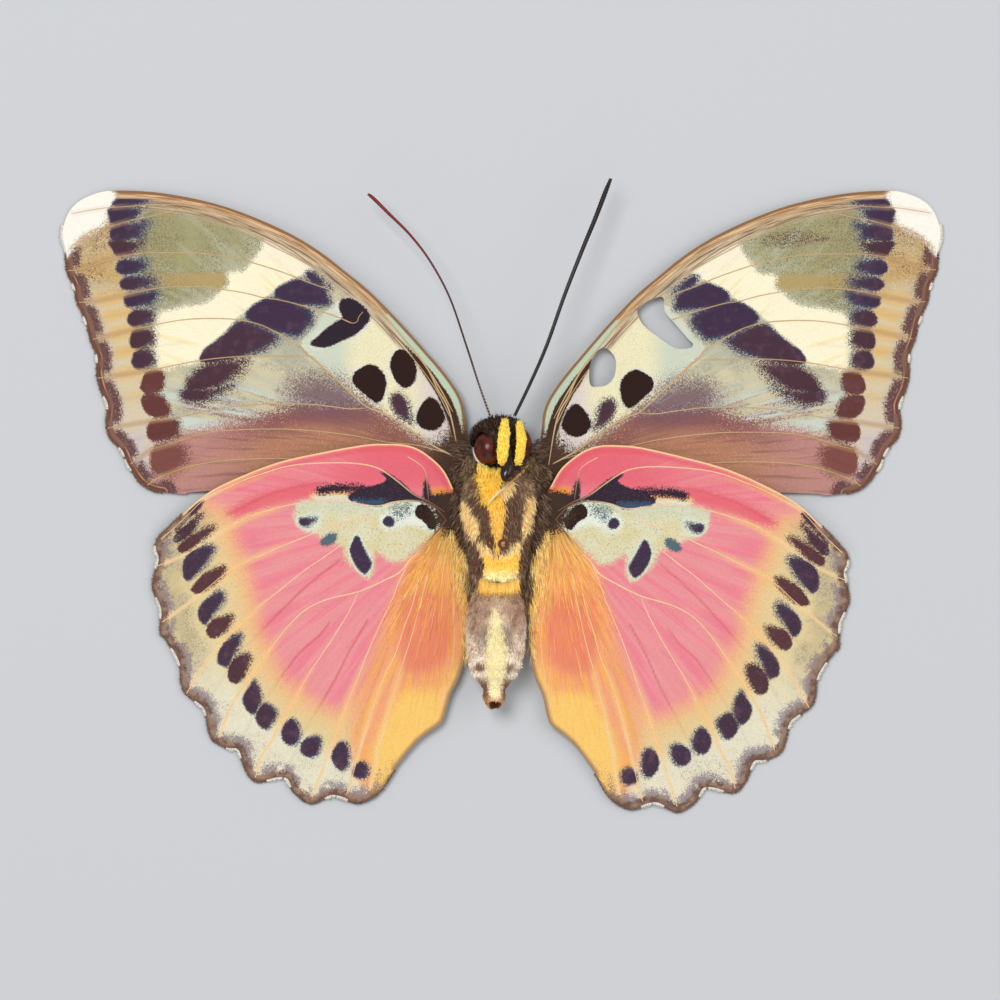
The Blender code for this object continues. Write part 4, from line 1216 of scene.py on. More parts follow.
def body_fields(mesh, places, zones):
    """Zone depths and places for a piece of the body, whose places are in millimetres."""
    photo_places = photo_of_body(places)
    for name, outlines in zones.items():
        set_field(mesh, name, zone_depths(photo_places, outlines))
    set_field(mesh, "photo_x", photo_places[:, 0] / 100)
    set_field(mesh, "photo_y", photo_places[:, 1] / 100)
    set_field(mesh, "rise", places[:, 2])


def copy_of_solid(node, name, levels):
    """A merged, subdivided copy of a solid, with its place in the mesh."""
    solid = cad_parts[node]
    mesh = solid.data.copy()
    mesh.transform(solid.matrix_world)
    mesh.materials.clear()
    piece = linked(name, mesh)
    clean_mesh(SOLID_GAP, quads=True)
    finer = piece.modifiers.new("Finer", "SUBSURF")
    finer.levels = levels
    apply_modifiers(piece)
    bpy.ops.object.shade_smooth()
    return piece


def normals_of(mesh):
    normals = np.zeros(len(mesh.vertices) * 3, np.float32)
    mesh.vertices.foreach_get("normal", normals)
    return normals.reshape(-1, 3)


def push_out(piece, amount):
    """Moves every point along its normal by its amount in millimetres."""
    mesh = piece.data
    set_places(mesh, places_of(mesh) + normals_of(mesh) * amount[:, None] * MM)


def surface_places(piece, density, seed):
    """Chance places on a piece, so many to a square millimetre, with their normals."""
    mesh = piece.data
    mesh.calc_loop_triangles()
    corners = np.zeros(len(mesh.loop_triangles) * 3, np.int32)
    mesh.loop_triangles.foreach_get("vertices", corners)
    corners = corners.reshape(-1, 3)
    places = places_of(mesh) / MM
    normals = normals_of(mesh)
    first, second, third = (places[corners[:, corner]] for corner in range(3))
    areas = np.linalg.norm(np.cross(second - first, third - first), axis=1) / 2
    chance = np.random.default_rng(seed)
    count = int(areas.sum() * density)
    picked = chance.choice(len(areas), count, p=areas / areas.sum())
    shares = chance.random((count, 2))
    over = shares.sum(1) > 1
    shares[over] = 1 - shares[over]
    weights = np.column_stack([1 - shares.sum(1), shares])[:, :, None]
    chosen = corners[picked]
    spots = sum(places[chosen[:, corner]] * weights[:, corner] for corner in range(3))
    facing = sum(normals[chosen[:, corner]] * weights[:, corner] for corner in range(3))
    return spots, unit(facing)


def make_hairs(name, roots, middles, tips, widths, material, chance):
    """Closed, tapering three-sided hairs through three places each, in millimetres."""
    count = len(roots)
    along = unit(tips - roots)
    helper = np.where(np.abs(along[:, 2:3]) > 0.8, [[1.0, 0.0, 0.0]], [[0.0, 0.0, 1.0]])
    across = unit(np.cross(along, helper))
    over = np.cross(across, along)
    points = np.zeros((count, HAIR_POINTS, 3))
    turns = chance.random(count) * math.tau
    for corner in range(3):
        angle = turns + corner * math.tau / 3
        spoke = across * np.cos(angle)[:, None] + over * np.sin(angle)[:, None]
        points[:, corner] = roots + spoke * widths[:, None] / 2
        points[:, 3 + corner] = middles + spoke * widths[:, None] * 0.38
    points[:, 6] = tips
    pattern = [(0, 1, 4, 3), (1, 2, 5, 4), (2, 0, 3, 5), (2, 1, 0), (3, 4, 6), (4, 5, 6), (5, 3, 6)]
    faces = [
        tuple(start + corner for corner in face)
        for start in range(0, count * HAIR_POINTS, HAIR_POINTS)
        for face in pattern
    ]
    mesh = bpy.data.meshes.new(name)
    mesh.from_pydata((points.reshape(-1, 3) * MM).tolist(), [], faces)
    mesh.update()
    hairs = linked(name, mesh)
    clean_mesh(outwards=True)
    bpy.ops.object.shade_smooth()
    set_field(mesh, "along", np.tile([0.0, 0.0, 0.0, 0.5, 0.5, 0.5, 1.0], count))
    set_field(mesh, "chance", np.repeat(chance.random(count), HAIR_POINTS))
    dress(hairs, material)
    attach(hairs, "root")
    return hairs


def make_fur(name, piece, density, seed, style, material, zones):
    """Fur on a piece; style gives flow, length, width and lift for every root."""
    spots, facing = surface_places(piece, density, seed)
    chance = np.random.default_rng(seed + 1)
    flow, length, width, lift = style(spots, facing, chance)
    keep = length > 0.01
    spots, facing, flow = spots[keep], facing[keep], flow[keep]
    length, width, lift = length[keep], width[keep], lift[keep]
    flow = flow - facing * np.sum(flow * facing, axis=1, keepdims=True)
    flow = unit(flow + chance.normal(0, 0.22, flow.shape))
    rise = facing * lift[:, None]
    middles = spots + (flow * 0.5 + rise * 0.7) * length[:, None]
    tips = spots + (flow + rise * 0.8) * length[:, None]
    roots = spots - facing * 0.04
    hairs = make_hairs(name, roots, middles, tips, width, material, chance)
    body_fields(hairs.data, np.repeat(spots, HAIR_POINTS, axis=0), zones)


def body_ground(paint, of_hair):
    """Starts a body finish; hair changes hair by hair, skin by its own grain."""
    if of_hair:
        return paint.field("chance"), paint.field("along")
    draw, second, _ = paint.draws(0.09)
    paint.bump(paint.noise(0.15, 3.0), 0.05)
    return draw, second


def thorax_finish(name, of_hair):
    paint = Finish(name, (150, 118, 90), 0.7, 0.05)
    lay, blend, zone, step = paint.lay, paint.blend, paint.zone, paint.step
    draw, along = body_ground(paint, of_hair)
    patch = paint.noise(0.9, 3.0)
    lay((208, 180, 144), (draw, 0.55, 0.75), (patch, 0.4, 0.6))
    lay((100, 74, 60), (draw, 0.24, 0.12))
    neck = step("photo_y", 4.74, 4.62)
    lay((84, 64, 52), neck, (draw, 0.5, 0.3))
    dark = blend((132, 98, 74), (98, 72, 58), (draw, 0.4, 0.7))
    dark = blend(dark, (160, 132, 112), (draw, 0.84, 0.92))
    lay(dark, zone("dark", 0.25, draw, 0.6))
    cream = blend((255, 222, 146), (255, 240, 190), (draw, 0.4, 0.8))
    cream = blend(cream, (232, 184, 124), (draw, 0.2, 0.08))
    lay(cream, zone("cream", 0.18, draw, 0.6))
    yellow = blend((255, 212, 70), (255, 236, 124), (draw, 0.4, 0.9))
    yellow = blend(yellow, (255, 216, 116), ("photo_y", 4.98, 5.15))
    yellow = blend(yellow, (244, 176, 60), (draw, 0.2, 0.06))
    lay(yellow, zone("yellow", 0.18, draw, 0.6, 0.15, 0.08))
    block = blend((255, 220, 104), (255, 246, 196), ("photo_y", 5.64, 5.74))
    block = blend(block, (246, 200, 96), (draw, 0.18, 0.06))
    lay(block, zone("block", 0.12, draw, 0.5))
    fringe = blend((238, 178, 70), (250, 204, 110), (draw, 0.3, 0.8))
    lay(fringe, zone("fringe", 0.15, draw, 0.5))
    lay((118, 92, 70), ("rise", 3.9, 3.2), 0.95)
    # Hair is brightened with painted light from root to tip, above its own colour; skin varies scale by
    # scale
    if of_hair:
        paint.shade(along, 1.2, 1.6)
    else:
        paint.shade(draw, 0.95, 1.1)
    return paint.done()


def abdomen_finish(name, of_hair):
    paint = Finish(name, (232, 212, 186), 0.65, 0.05)
    lay, both, zone, step = paint.lay, paint.both, paint.zone, paint.step
    draw, along = body_ground(paint, of_hair)
    patch = paint.noise(0.8, 3.0)
    level = paint.field("photo_y")
    lay((204, 178, 152), (patch, 0.42, 0.6))
    lay((252, 242, 226), (draw, 0.55, 0.8), (level, 6.0, 6.3))
    side = paint.math("ABSOLUTE", paint.math("SUBTRACT", "photo_x", 4.955))
    lay((190, 154, 128), zone("brown", 0.8, draw, 0.5, 0.3), 0.8)
    lay((158, 128, 108), zone("brown", 0.8, draw, 0.5, 0.3), (patch, 0.45, 0.7))
    lay((134, 108, 96), (side, 0.24, 0.1), (level, 6.2, 6.3), (level, 6.52, 6.4), 0.55)
    for middle, reach in ((6.56, 0.035), (6.7, 0.03)):
        bend = paint.math("MULTIPLY_ADD", both(side, side), -1.2, 0.03)
        gap = paint.math("ABSOLUTE", paint.math("SUBTRACT", paint.math("ADD", level, bend), middle))
        lay((246, 236, 220), paint.grainy(step(gap, reach + 0.02, reach - 0.02), draw, 0.8))
    lay((128, 88, 68), zone("spots", 0.2, draw, 0.6, 0.3, -0.1), 0.85)
    lay((140, 96, 68), (level, 6.72, 6.84), (side, 0.03, 0.09))
    lay((252, 240, 190), zone("stripe", 0.3, draw, 0.9, 0.3), 0.9)
    lay((214, 156, 104), (level, 6.93, 7.0), (draw, 0.15, 0.4))
    lay((110, 62, 32), zone("opening", 0.12, draw, 0.3))
    lay((52, 26, 16), ("opening", 0.08, 0.22), 0.9)
    rear = step("rise", 3.0, 2.0)
    lay((96, 72, 56), rear)
    # Hair is brightened with painted light from root to tip, above its own colour; skin varies scale by
    # scale
    if of_hair:
        paint.shade(along, 1.15, 1.45)
        paint.shade(draw, 0.95, 1.1)
    else:
        paint.shade(draw, 0.9, 1.05)
    return paint.done()


def fur_finish(name, colour, bright, dark, painted_light_gain=1.2):
    """Hair of one colour, with some brighter and darker hairs, brightened with painted light from root to
    tip.
    """
    paint = Finish(name, colour, 0.6, 0.05)
    draw = paint.field("chance")
    paint.lay(bright, (draw, 0.5, 0.95))
    paint.lay(dark, (draw, 0.3, 0.08))
    # Painted light: each hair brightens from root to tip, mostly above its own colour, for light that real
    # hair lets through
    paint.shade("along", 0.8 * painted_light_gain, 1.2 * painted_light_gain)
    paint.shade(paint.noise(0.4, 2.0), 0.95, 1.06)
    return paint.done()


def shell_finish(name, colour, other, roughness, size, depth):
    """Smooth dark shell, with a little mottling and fine pits."""
    paint = Finish(name, colour, roughness)
    paint.shader.inputs["Specular IOR Level"].default_value = 0.5
    paint.lay(other, (paint.noise(0.5, 3.0), 0.45, 0.65))
    paint.pits(size, depth)
    return paint.done()


def mottled_finish(name, colour, other, patch, low, high, grain, depth):
    """A dull skin whose two colours change in patches, over a fine grain."""
    paint = Finish(name, colour, 0.7)
    paint.lay(other, (paint.noise(patch, 3.0), low, high))
    paint.bump(paint.noise(grain, 3.0), depth)
    return paint.done()


def thorax_flow(photo_places):
    """Which way the thorax hair lies at a place of the photograph: X and Y."""
    side = (photo_places[:, 0] - 499) / 35
    down = (photo_places[:, 1] - 465) / 115
    return np.column_stack([side * (0.7 - 1.1 * down), -np.ones(len(side)), np.zeros(len(side))])


# Stubs of lost legs: X and Y in millimetres, and their width and height to a common size
LEG_STUBS = {"left": (-1.3, -4.65, 0.7, 1.1), "right": (0.05, -4.85, 1.1, 1.0)}


def thorax_style(spots, facing, chance):
    photo_places = photo_of_body(spots)
    flow = thorax_flow(photo_places)
    amount = len(spots)
    length = 0.6 + 0.4 * chance.random(amount)
    lift = 0.22 + 0.25 * chance.random(amount)
    width = 0.06 + 0.03 * chance.random(amount)
    block = zone_depths(photo_places, BODY_ZONES["block"]) > -0.05
    length[block] = 0.35 + 0.25 * chance.random(block.sum())
    lift[block] = 0.25
    width[block] = 0.11
    fringe = zone_depths(photo_places, BODY_ZONES["fringe"]) > 0
    length[fringe] = 0.7 + 0.4 * chance.random(fringe.sum())
    lift[fringe] = 0.2
    yellow = zone_depths(photo_places, BODY_ZONES["yellow"]) > 0
    length[yellow] *= 0.8
    back = facing[:, 2] < -0.1
    length[back] *= 0.35
    lift[back] *= 0.3
    length[(facing[:, 2] < -0.6) | (spots[:, 2] < 0.7)] = 0.0
    for x, y, width_share, height_share in LEG_STUBS.values():
        gap = np.hypot((spots[:, 0] - x) / width_share, (spots[:, 1] - y - 0.25) / height_share)
        length[gap < 0.7] = 0.0
    under_head = (photo_places[:, 1] < 474) & (photo_places[:, 0] > 478)
    length[under_head] *= 0.6
    return flow, length, width, lift


def abdomen_style(spots, facing, chance):
    amount = len(spots)
    flow = np.column_stack([np.zeros(amount), -np.ones(amount), np.zeros(amount)])
    length = 0.3 + 0.3 * chance.random(amount)
    length[spots[:, 1] < -18.0] *= 0.45
    return flow, length, 0.06 + 0.05 * chance.random(amount), 0.14 + 0.2 * chance.random(amount)


def head_style(spots, facing, chance):
    amount = len(spots)
    flow = spots - np.array([-0.25, 4.0, 2.5])
    flow[:, 2] = 0.2
    length = 0.22 + 0.3 * chance.random(amount)
    photo_places = photo_of_body(spots)
    length[(photo_places[:, 1] > 464)] = 0.0
    near_eye = np.hypot((photo_places[:, 0] - 486.5) / 13.5, (photo_places[:, 1] - 448.5) / 18)
    length[near_eye < 1.0] = 0.0
    return flow, length, 0.05 + 0.03 * chance.random(amount), 0.5 + 0.5 * chance.random(amount)


def palp_style(spots, facing, chance):
    amount = len(spots)
    flow = np.column_stack([np.full(amount, 0.12), np.ones(amount), np.full(amount, -0.1)])
    length = 0.25 + 0.2 * chance.random(amount)
    length[spots[:, 1] > 6.6] *= 1.5
    return flow, length, 0.06 + 0.04 * chance.random(amount), 0.03 + 0.06 * chance.random(amount)


def make_thorax():
    thorax = copy_of_solid("thorax", "thorax_skin", 2)
    places = places_of(thorax.data) / MM
    photo_places = photo_of_body(places)
    upper = np.clip((places[:, 2] - 4.0) / 1.5, 0, 1)
    raised = np.zeros(len(places))
    for zone, height in (("yellow", 0.16), ("cream", 0.1), ("block", 0.28), ("dark", -0.08)):
        depth = zone_depths(photo_places, BODY_ZONES[zone])
        raised += height * np.clip(depth / 0.35 + 0.5, 0, 1)
    push_out(thorax, raised * upper - 0.1)
    body_fields(thorax.data, places, BODY_ZONES)
    dress(thorax, thorax_finish("thorax_skin", False))
    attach(thorax, "root")
    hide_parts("thorax")
    make_fur("thorax_fur", thorax, 85, 11, thorax_style, thorax_finish("thorax_hair", True), BODY_ZONES)


def make_coxae():
    """The stubs of two lost legs, each a bare ring round a dark socket."""
    ring = fur_finish("stub_ring_skin", (190, 132, 88), (230, 190, 146), (110, 64, 40))
    socket = shell_finish("stub_socket", (74, 42, 26), (190, 142, 104), 0.5, 0.1, 0.02)
    for side, (x, y, width, height) in LEG_STUBS.items():
        for kind, material, level, depth in (("ring", ring, 6.75, 1.0), ("socket", socket, 6.65, 0.5)):
            place = (x * MM, y * MM, level * MM)
            bpy.ops.object.select_all(action="DESELECT")
            if kind == "ring":
                bpy.ops.mesh.primitive_torus_add(
                    major_radius=0.4 * MM, minor_radius=0.13 * MM, major_segments=36,
                    minor_segments=12, location=place,
                )
            else:
                bpy.ops.mesh.primitive_uv_sphere_add(
                    segments=24, ring_count=14, radius=0.33 * MM, location=place
                )
            stub = bpy.context.object
            stub.name = f"leg_stub_{kind}_{side}"
            bpy.ops.transform.resize(value=(width, height, depth))
            bpy.ops.object.transform_apply(location=True, rotation=True, scale=True)
            bpy.ops.object.shade_smooth()
            dress(stub, material)
            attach(stub, "root")


def make_abdomen():
    abdomen = copy_of_solid("abdomen", "abdomen_skin", 2)
    places = places_of(abdomen.data) / MM
    photo_places = photo_of_body(places)
    upper = np.clip((places[:, 2] - 3.2) / 1.0, 0, 1)
    opening = zone_depths(photo_places, ABDOMEN_ZONES["opening"])
    dent = -0.35 * np.clip(opening / 0.25, 0, 1) + 0.1 * np.exp(-((opening / 0.18) ** 2))
    push_out(abdomen, dent * upper - 0.03)
    body_fields(abdomen.data, places, ABDOMEN_ZONES)
    dress(abdomen, abdomen_finish("abdomen_skin", False))
    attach(abdomen, "root")
    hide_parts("abdomen")
    make_fur("abdomen_fur", abdomen, 60, 23, abdomen_style, abdomen_finish("abdomen_hair", True),
             ABDOMEN_ZONES)


# How much each palp's fur widens it, and the X of its foot and of its top in millimetres
PALP_FORM = {"left": (1.2, -0.08, 0.16), "right": (1.15, 1.58, 1.72)}


def make_eye(side):
    """An eye; the left one is widened and moved to its place in the photograph."""
    eye = copy_of_solid("eye_" + side, "eye_ball_" + side, 2)
    if side == "left":
        places = places_of(eye.data) / MM
        left = places[:, 0].min()
        places[:, 0] = left + (places[:, 0] - left) * 1.15
        set_places(eye.data, (places + (0.15, 0.0, 0.3)) * MM)
    paint = Finish("eye_shell_" + side, (96, 38, 24), 0.2)
    paint.shader.inputs["Specular IOR Level"].default_value = 0.35
    paint.lay((60, 22, 16), (paint.noise(1.2, 2.0), 0.4, 0.65))
    paint.pits(0.07, 0.006)
    dress(eye, paint.done())
    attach(eye, "root")
    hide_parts("eye_" + side)


def make_palp(side):
    """A palp, drawn in under its hair and moved onto its line in the photograph."""
    palp = copy_of_solid("palp_" + side, "palp_skin_" + side, 1)
    push_out(palp, np.full(len(palp.data.vertices), -0.09))
    places = places_of(palp.data) / MM
    slope, start = np.polyfit(places[:, 1], places[:, 0], 1)
    width, foot, top = PALP_FORM[side]
    share = (places[:, 1] - places[:, 1].min()) / np.ptp(places[:, 1])
    off_line = places[:, 0] - start - slope * places[:, 1]
    places[:, 0] = foot + (top - foot) * share + off_line * width
    set_places(palp.data, places * MM)
    dress(palp, mottled_finish("palp_skin_" + side, (244, 184, 56), (255, 222, 84), 0.3, 0.4, 0.6,
                               0.1, 0.03))
    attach(palp, "root")
    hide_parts("palp_" + side)
    hair = fur_finish("palp_hair_" + side, (255, 230, 86), (255, 244, 140), (250, 190, 66), 1.3)
    make_fur("palp_fur_" + side, palp, 160, 41, palp_style, hair, {})


def make_head():
    head = copy_of_solid("head", "head_skin", 1)
    dress(head, mottled_finish("head_skin", (40, 26, 20), (84, 60, 42), 0.4, 0.5, 0.7, 0.12, 0.05))
    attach(head, "root")
    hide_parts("head")
    hair = fur_finish("head_hair", (42, 28, 22), (104, 76, 52), (20, 12, 10))
    make_fur("head_fur", head, 45, 31, head_style, hair, {})
    for side in ("left", "right"):
        make_eye(side)
        make_palp(side)


def make_route(name, route, steps, material, ring=0.0):
    """A round tube along a route of x, y, z and radius in millimetres, with rings if wanted."""
    line = smooth_line(route, steps, False)
    curve = tube_curve(name, 3)
    spline = curve.splines.new("POLY")
    spline.points.add(len(line) - 1)
    passed = 0.0
    for number, point in enumerate(spline.points):
        if number:
            passed += float(np.linalg.norm(line[number][:3] - line[number - 1][:3]))
        point.co = (*(line[number][:3] * MM), 1.0)
        swell = 1.0 + (0.1 * math.cos(math.tau * passed / ring) if ring else 0.0)
        point.radius = max(line[number][3] * swell, 0.02)
    tube = tube_mesh(name, curve, material)
    places = places_of(tube.data) / MM
    set_field(tube.data, "along", (places[:, 1] - route[0][1]) / (route[-1][1] - route[0][1]))
    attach(tube, "root")
    return tube


def antenna_finish(name, ground, club, rings):
    paint = Finish(name, ground, 0.35)
    paint.shader.inputs["Specular IOR Level"].default_value = 0.4
    along = paint.field("along")
    paint.lay(club, (along, 0.45, 0.95))
    ringed = paint.math("SINE", paint.math("MULTIPLY", along, ANTENNA_HEIGHT / ANTENNA_RING * math.tau))
    paint.lay(rings, (ringed, 0.2, 0.7), (along, 0.3, 0.05))
    paint.shade(paint.noise(0.4, 3.0), 0.8, 1.15)
    paint.bump(paint.noise(0.1, 2.0), 0.01)
    return paint.done()


def make_antennae():
    for side, route, colours in (
        ("left", LEFT_ANTENNA, ((62, 34, 30), (120, 28, 14), (170, 140, 130))),
        ("right", RIGHT_ANTENNA, ((24, 12, 12), (34, 12, 10), (40, 26, 24))),
    ):
        shell = antenna_finish("antenna_" + side + "_shell", *colours)
        antenna = make_route("antenna_" + side + "_rod", route, 40, shell, ANTENNA_RING)
        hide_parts("antenna_" + side)


def make_mouth_and_leg():
    proboscis = copy_of_solid("proboscis", "proboscis_coil", 2)
    places = places_of(proboscis.data) / MM
    bulb = np.exp(-(((places[:, 1] - 2.4) / 0.9) ** 2))
    places[:, 0] += (places[:, 0] - 0.45) * 0.3 * bulb - 0.1
    places[:, 1] += 0.25 * np.clip((2.4 - places[:, 1]) / 1.2, 0, 1)
    places[:, 2] -= 0.4 * np.clip(places[:, 1] - 3.0, 0, 1)
    set_places(proboscis.data, places * MM)
    dress(proboscis, shell_finish("proboscis_shell", (26, 12, 16), (52, 26, 38), 0.16, 0.3, 0.01))
    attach(proboscis, "root")
    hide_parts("proboscis")
    leg = copy_of_solid("folded_leg", "folded_leg_rod", 2)
    paint = Finish("leg_shell", (196, 156, 108), 0.45)
    level = paint.field("photo_y")
    paint.lay((96, 62, 34), (level, 4.9, 4.7), (paint.noise(0.3, 3.0), 0.35, 0.55))
    paint.lay((250, 226, 184), (level, 4.84, 4.94))
    paint.shade(paint.noise(0.2, 3.0), 0.85, 1.1)
    paint.bump(paint.noise(0.08, 2.0), 0.02)
    dress(leg, paint.done())
    body_fields(leg.data, places_of(leg.data) / MM, {})
    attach(leg, "root")
    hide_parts("folded_leg")


# Tufts on the midline and beside it: outline in the photograph, count of hairs, height, flow, length,
# width, kind of hair, seed, lift and fan. Those beside it are mirrored, and their seeds are added.
MIDDLE_TUFTS = (
    ("collar_left", [(478, 462), (490, 467), (503, 468), (505, 476), (492, 480), (478, 476)],
     420, (5.2, 4.6), (-0.05, -1.0), 1.1, 0.09, "collar", 51, 0.4, -0.3),
    ("collar_back", [(477, 458), (500, 460), (522, 456), (525, 468), (502, 472), (478, 470)],
     420, (3.7, 3.2), (0.0, -1.0), 0.75, 0.08, "root", 54, 0.35, 0.0),
    ("abdomen_fringe", [(481, 577), (492, 581), (505, 581), (518, 577), (518, 582), (500, 585),
                        (481, 583)],
     420, (5.75, 5.2), (0.0, -1.0), 1.45, 0.09, "fringe", 52, 0.12, 0.0),
)
SIDE_TUFTS = (
    ("neck_", [(466, 455), (472, 457), (478, 466), (479, 477), (472, 484), (464, 480), (462, 466)],
     420, (4.4, 1.9), (0.35, -0.95), 0.65, 0.065, "neck", 0, 0.35),
    ("axil_", [(449, 476), (455, 464), (464, 466), (470, 478), (470, 500), (461, 503), (455, 496)],
     900, (3.3, 2.0), (0.75, -0.65), 0.85, 0.08, "root", 7, 0.1),
    ("forewing_root_", [(456, 444), (463, 440), (470, 446), (474, 456), (468, 468), (459, 462),
                        (454, 452)],
     380, (3.6, 1.9), (0.9, 0.25), 0.8, 0.06, "root", 1, 0.2),
    ("hindwing_root_", [(452, 496), (460, 494), (468, 504), (471, 530), (468, 548), (461, 540),
                        (454, 518)],
     460, "wing", (0.55, -0.8), 1.0, 0.065, "root", 2, 0.2),
    ("wing_root_gold_", [(450, 528), (458, 536), (466, 552), (471, 580), (472, 604), (466, 606),
                         (458, 590), (452, 560)],
     330, "wing", (0.12, -1.0), 1.7, 0.06, "gold", 3, 0.05),
    ("wing_root_edge_", [(462, 596), (469, 600), (470, 640), (466, 660), (463, 650), (461, 620)],
     160, "wing", (0.04, -1.0), 1.3, 0.05, "gold", 4, 0.04),
    ("flank_", [(463, 540), (472, 548), (481, 570), (483, 590), (476, 606), (469, 600), (465, 570)],
     460, (2.4, 1.9), (0.2, -1.0), 1.1, 0.075, "neck", 8, 0.15),
)
EYE_RIM = [
    (-2.95, 4.7, 4.0, 0.05), (-2.9, 4.2, 4.5, 0.08), (-2.6, 3.5, 4.75, 0.09), (-2.1, 3.0, 4.9, 0.09),
    (-1.6, 2.75, 5.0, 0.05),
]
STREAK_AREA = [
    (438, 528), (446, 530), (456, 556), (458, 610), (448, 650), (424, 668), (392, 690), (376, 680),
    (392, 620), (410, 566), (426, 544),
]
STREAK_ROOT = (452.0, 512.0)


def make_tuft(name, outline, count, level, flow, length, width, material, seed, lift=0.25, fan=0.0):
    """Hair rooted over an outline of the photograph, lying along one flow.

    level is its height, one for 1.8 mm and one for 4.5 mm from the midline, or "wing" for the hindwing's."""
    chance = np.random.default_rng(seed)
    shape = smooth_line(outline, 2, True)
    low, high = shape.min(0), shape.max(0)
    places = low + chance.random((count * 6, 2)) * (high - low)
    places = places[depth_in(places, shape) > 0][:count]
    amount = len(places)
    middle = shape.mean(0)
    off_middle = np.abs(places[:, 0] - BODY_MIDLINE)
    if level == "wing":
        left_places = np.column_stack([BODY_MIDLINE - off_middle, places[:, 1]])
        rise = hindwing_height(from_photo(left_places, HINDWING_MIDLINE)) + 0.12
    else:
        rise = np.interp(off_middle, (18, 45), level)
    roots = places_in_body(places, rise)
    turn = math.atan2(flow[1], flow[0]) + fan * (places[:, 0] - middle[0]) / max(high[0] - middle[0], 1)
    turn = turn + chance.normal(0, 0.16, amount)
    reach = length * (0.6 + 0.6 * chance.random(amount))
    way = np.column_stack([np.cos(turn), np.sin(turn), np.zeros(amount)])
    up = np.column_stack([np.zeros(amount), np.zeros(amount), lift * (0.5 + chance.random(amount))])
    middles = roots + (way * 0.5 + up * 0.55) * reach[:, None]
    tips = roots + (way + up * 0.6) * reach[:, None]
    widths = width * (0.7 + 0.6 * chance.random(amount))
    hairs = make_hairs(name, roots, middles, tips, widths, material, chance)
    body_fields(hairs.data, np.repeat(roots, HAIR_POINTS, axis=0), {})


def mirrored(outline):
    """An outline of the photograph's left side, carried over to its right side."""
    return [(2 * BODY_MIDLINE - x, y) for x, y in outline]


def make_tufts():
    """Hair that bridges the gaps between head, thorax, wing roots and abdomen."""
    hair = {
        "collar": fur_finish("collar_hair", (255, 216, 80), (255, 238, 130), (250, 184, 64)),
        "neck": fur_finish("neck_hair", (120, 92, 66), (196, 166, 124), (66, 48, 36)),
        "root": fur_finish("root_hair", (98, 74, 58), (160, 130, 102), (48, 34, 28)),
        "gold": fur_finish("wing_root_hair", (255, 220, 130), (255, 236, 176), (244, 186, 96), 1.35),
        "streak": fur_finish("wing_streak_hair", (252, 196, 96), (255, 224, 148), (240, 160, 92), 1.3),
        "fringe": fur_finish("fringe_hair", (246, 198, 98), (252, 216, 126), (232, 166, 72)),
        "eye": fur_finish("eye_rim_hair", (250, 240, 220), (255, 252, 244), (226, 206, 170)),
    }
    for name, outline, *measures, kind, seed, lift, fan in MIDDLE_TUFTS:
        make_tuft(name, outline, *measures, hair[kind], seed, lift, fan)
    make_route("eye_rim", EYE_RIM, 8, hair["eye"])
    for side, flip, way, seed in (("left", list, -1.0, 60), ("right", mirrored, 1.0, 80)):
        for name, outline, count, level, (aside, ahead), length, width, kind, number, lift in SIDE_TUFTS:
            make_tuft(name + side, flip(outline), count, level, (way * aside, ahead), length, width,
                      hair[kind], seed + number, lift)
        make_streak_hair("wing_streaks_" + side, side, hair["streak"], seed + 5)


def make_streak_hair(name, side, material, seed):
    """Long hair that lies along the hindwing from its root, over the orange part."""
    chance = np.random.default_rng(seed)
    shape = np.array(STREAK_AREA, float)
    low, high = shape.min(0), shape.max(0)
    places = low + chance.random((6000, 2)) * (high - low)
    places = places[depth_in(places, shape) > 0]
    places = places[chance.random(len(places)) < np.clip((680 - places[:, 1]) / 150, 0.03, 1) ** 2.5][:300]
    way = unit(places - np.array(STREAK_ROOT))
    way = way + chance.normal(0, 0.05, way.shape)
    reach = (14 + 46 * chance.random(len(places)) ** 1.5)[:, None]
    wing = HINDWING_SHAPE
    placement = hindwing_placement(side)
    spots = []
    for share, lift in ((0.0, 0.0), (0.5, 0.06), (1.0, 0.05)):
        step = places + way * reach * share
        wing_places = from_photo(step, wing["midline"])
        rise = rise_at(wing, wing_places, step) + MEMBRANE / 2 + lift
        spots.append(np.column_stack([moved(wing_places, placement), rise]))
    widths = 0.035 + 0.03 * chance.random(len(places))
    make_hairs(name, *spots, widths, material, chance)


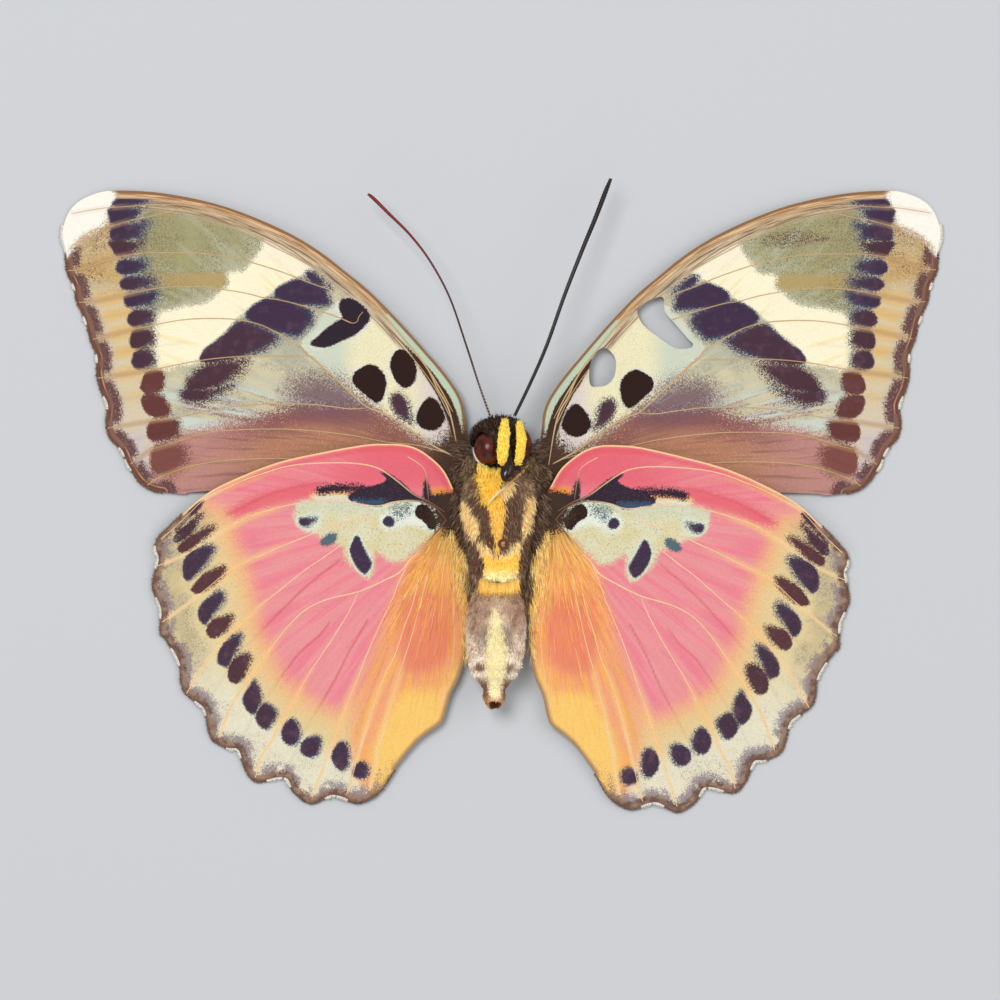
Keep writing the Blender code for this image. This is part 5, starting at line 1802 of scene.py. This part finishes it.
def make_wing_fringe(name, wing, placement, white_dips, material, seed):
    """Short scales along a wing's outer edge, white where it dips in between two veins."""
    chance = np.random.default_rng(seed)
    outline = smooth_line(wing["outline"], 24, True)
    first, last = wing["edges"]["outer_edge"]
    stretch = outline[first * 24:last * 24 + 1]
    lengths = np.concatenate([[0], np.cumsum(np.linalg.norm(np.diff(stretch, axis=0), axis=1))])
    marks = np.arange(0, lengths[-1], FRINGE_GAP)
    marks = marks + chance.normal(0, 0.01, len(marks))
    edge, ahead, behind = (
        np.column_stack([np.interp(marks + shift, lengths, stretch[:, axis]) for axis in range(2)])
        for shift in (0.0, 0.3, -0.3)
    )
    along = ahead - behind
    outward = unit(np.column_stack([along[:, 1], -along[:, 0]]))
    inside = depth_in(edge + outward * 0.2, smooth_line(wing["outline"], 2, True)) > 0
    outward[inside] *= -1
    photo_places = to_photo(edge, wing["midline"])
    white = np.zeros(len(edge))
    for x, y, reach in white_dips:
        gap = np.hypot(photo_places[:, 0] - x, photo_places[:, 1] - y)
        white = np.maximum(white, np.clip(1.5 - gap / reach, 0, 1))
    length = 0.16 + 0.14 * chance.random(len(edge)) + 0.22 * white
    slant = outward + chance.normal(0, 0.12, outward.shape)
    height = rise_at(wing, edge, photo_places)
    spots = []
    for share, drop in ((-0.25, 0.0), (0.45, -0.01), (1.0, -0.03)):
        flat = edge + slant * (share * length)[:, None]
        spots.append(np.column_stack([moved(flat, placement), height + drop]))
    hairs = make_hairs(name, *spots, np.full(len(edge), 0.075), material, chance)
    set_field(hairs.data, "white", np.repeat(white, HAIR_POINTS))


def fringe_finish():
    paint = Finish("wing_fringe_scales", (150, 116, 92), 0.7)
    draw = paint.field("chance")
    paint.lay((104, 74, 58), (draw, 0.4, 0.6))
    paint.lay((252, 246, 234), ("white", 0.35, 0.6))
    paint.shade(paint.noise(0.3, 2.0), 0.9, 1.05)
    return paint.done()


# Studio: sizes and places in metres, powers in watts
FLOOR_SIZE = 3.0
FLOOR_LEVEL = -0.00005
SKY_STRENGTH = 0.34
LIGHTS = (
    ("key", (-0.18, 0.20, 0.70), 3.2, 0.3),
    ("fill", (0.45, 0.10, 0.50), 1.0, 0.5),
    ("back", (0.00, -0.50, 0.40), 0.6, 0.5),
)
LENS = 150.0
SENSOR = 36.0
PICTURE_WIDTH = 0.1


def make_studio():
    """A plain pale floor, soft light from above and a camera that looks straight down."""
    scene = bpy.context.scene
    scene.view_settings.view_transform = "Standard"
    bpy.ops.mesh.primitive_plane_add(size=FLOOR_SIZE, location=(0.0, 0.0, FLOOR_LEVEL))
    floor = bpy.context.object
    floor.name = "floor"
    dress(floor, Finish("pale_floor", (203, 205, 208), 0.9).done())
    world = bpy.data.worlds.new("studio")
    scene.world = world
    world.use_nodes = True
    world.node_tree.nodes["Background"].inputs["Color"].default_value = (1.0, 1.0, 1.0, 1.0)
    world.node_tree.nodes["Background"].inputs["Strength"].default_value = SKY_STRENGTH
    for name, place, power, size in LIGHTS:
        light = bpy.data.lights.new(name, "AREA")
        light.energy = power
        light.size = size
        lamp = bpy.data.objects.new(name, light)
        lamp.location = place
        lamp.rotation_euler = (-Vector(place)).to_track_quat("-Z", "Y").to_euler()
        scene.collection.objects.link(lamp)
    view = bpy.data.cameras.new("view_from_above")
    view.lens = LENS
    view.sensor_width = SENSOR
    camera = bpy.data.objects.new("view_from_above", view)
    height = PICTURE_WIDTH * LENS / SENSOR
    middle = ((500 - PHOTO_MIDDLE[0]) / PIXELS_PER_MM * MM, (PHOTO_MIDDLE[1] - 500) / PIXELS_PER_MM * MM)
    camera.location = (*middle, height + MM)
    scene.collection.objects.link(camera)
    scene.camera = camera


make_wings()
make_thorax()
make_coxae()
make_abdomen()
make_head()
make_antennae()
make_mouth_and_leg()
make_tufts()
make_studio()
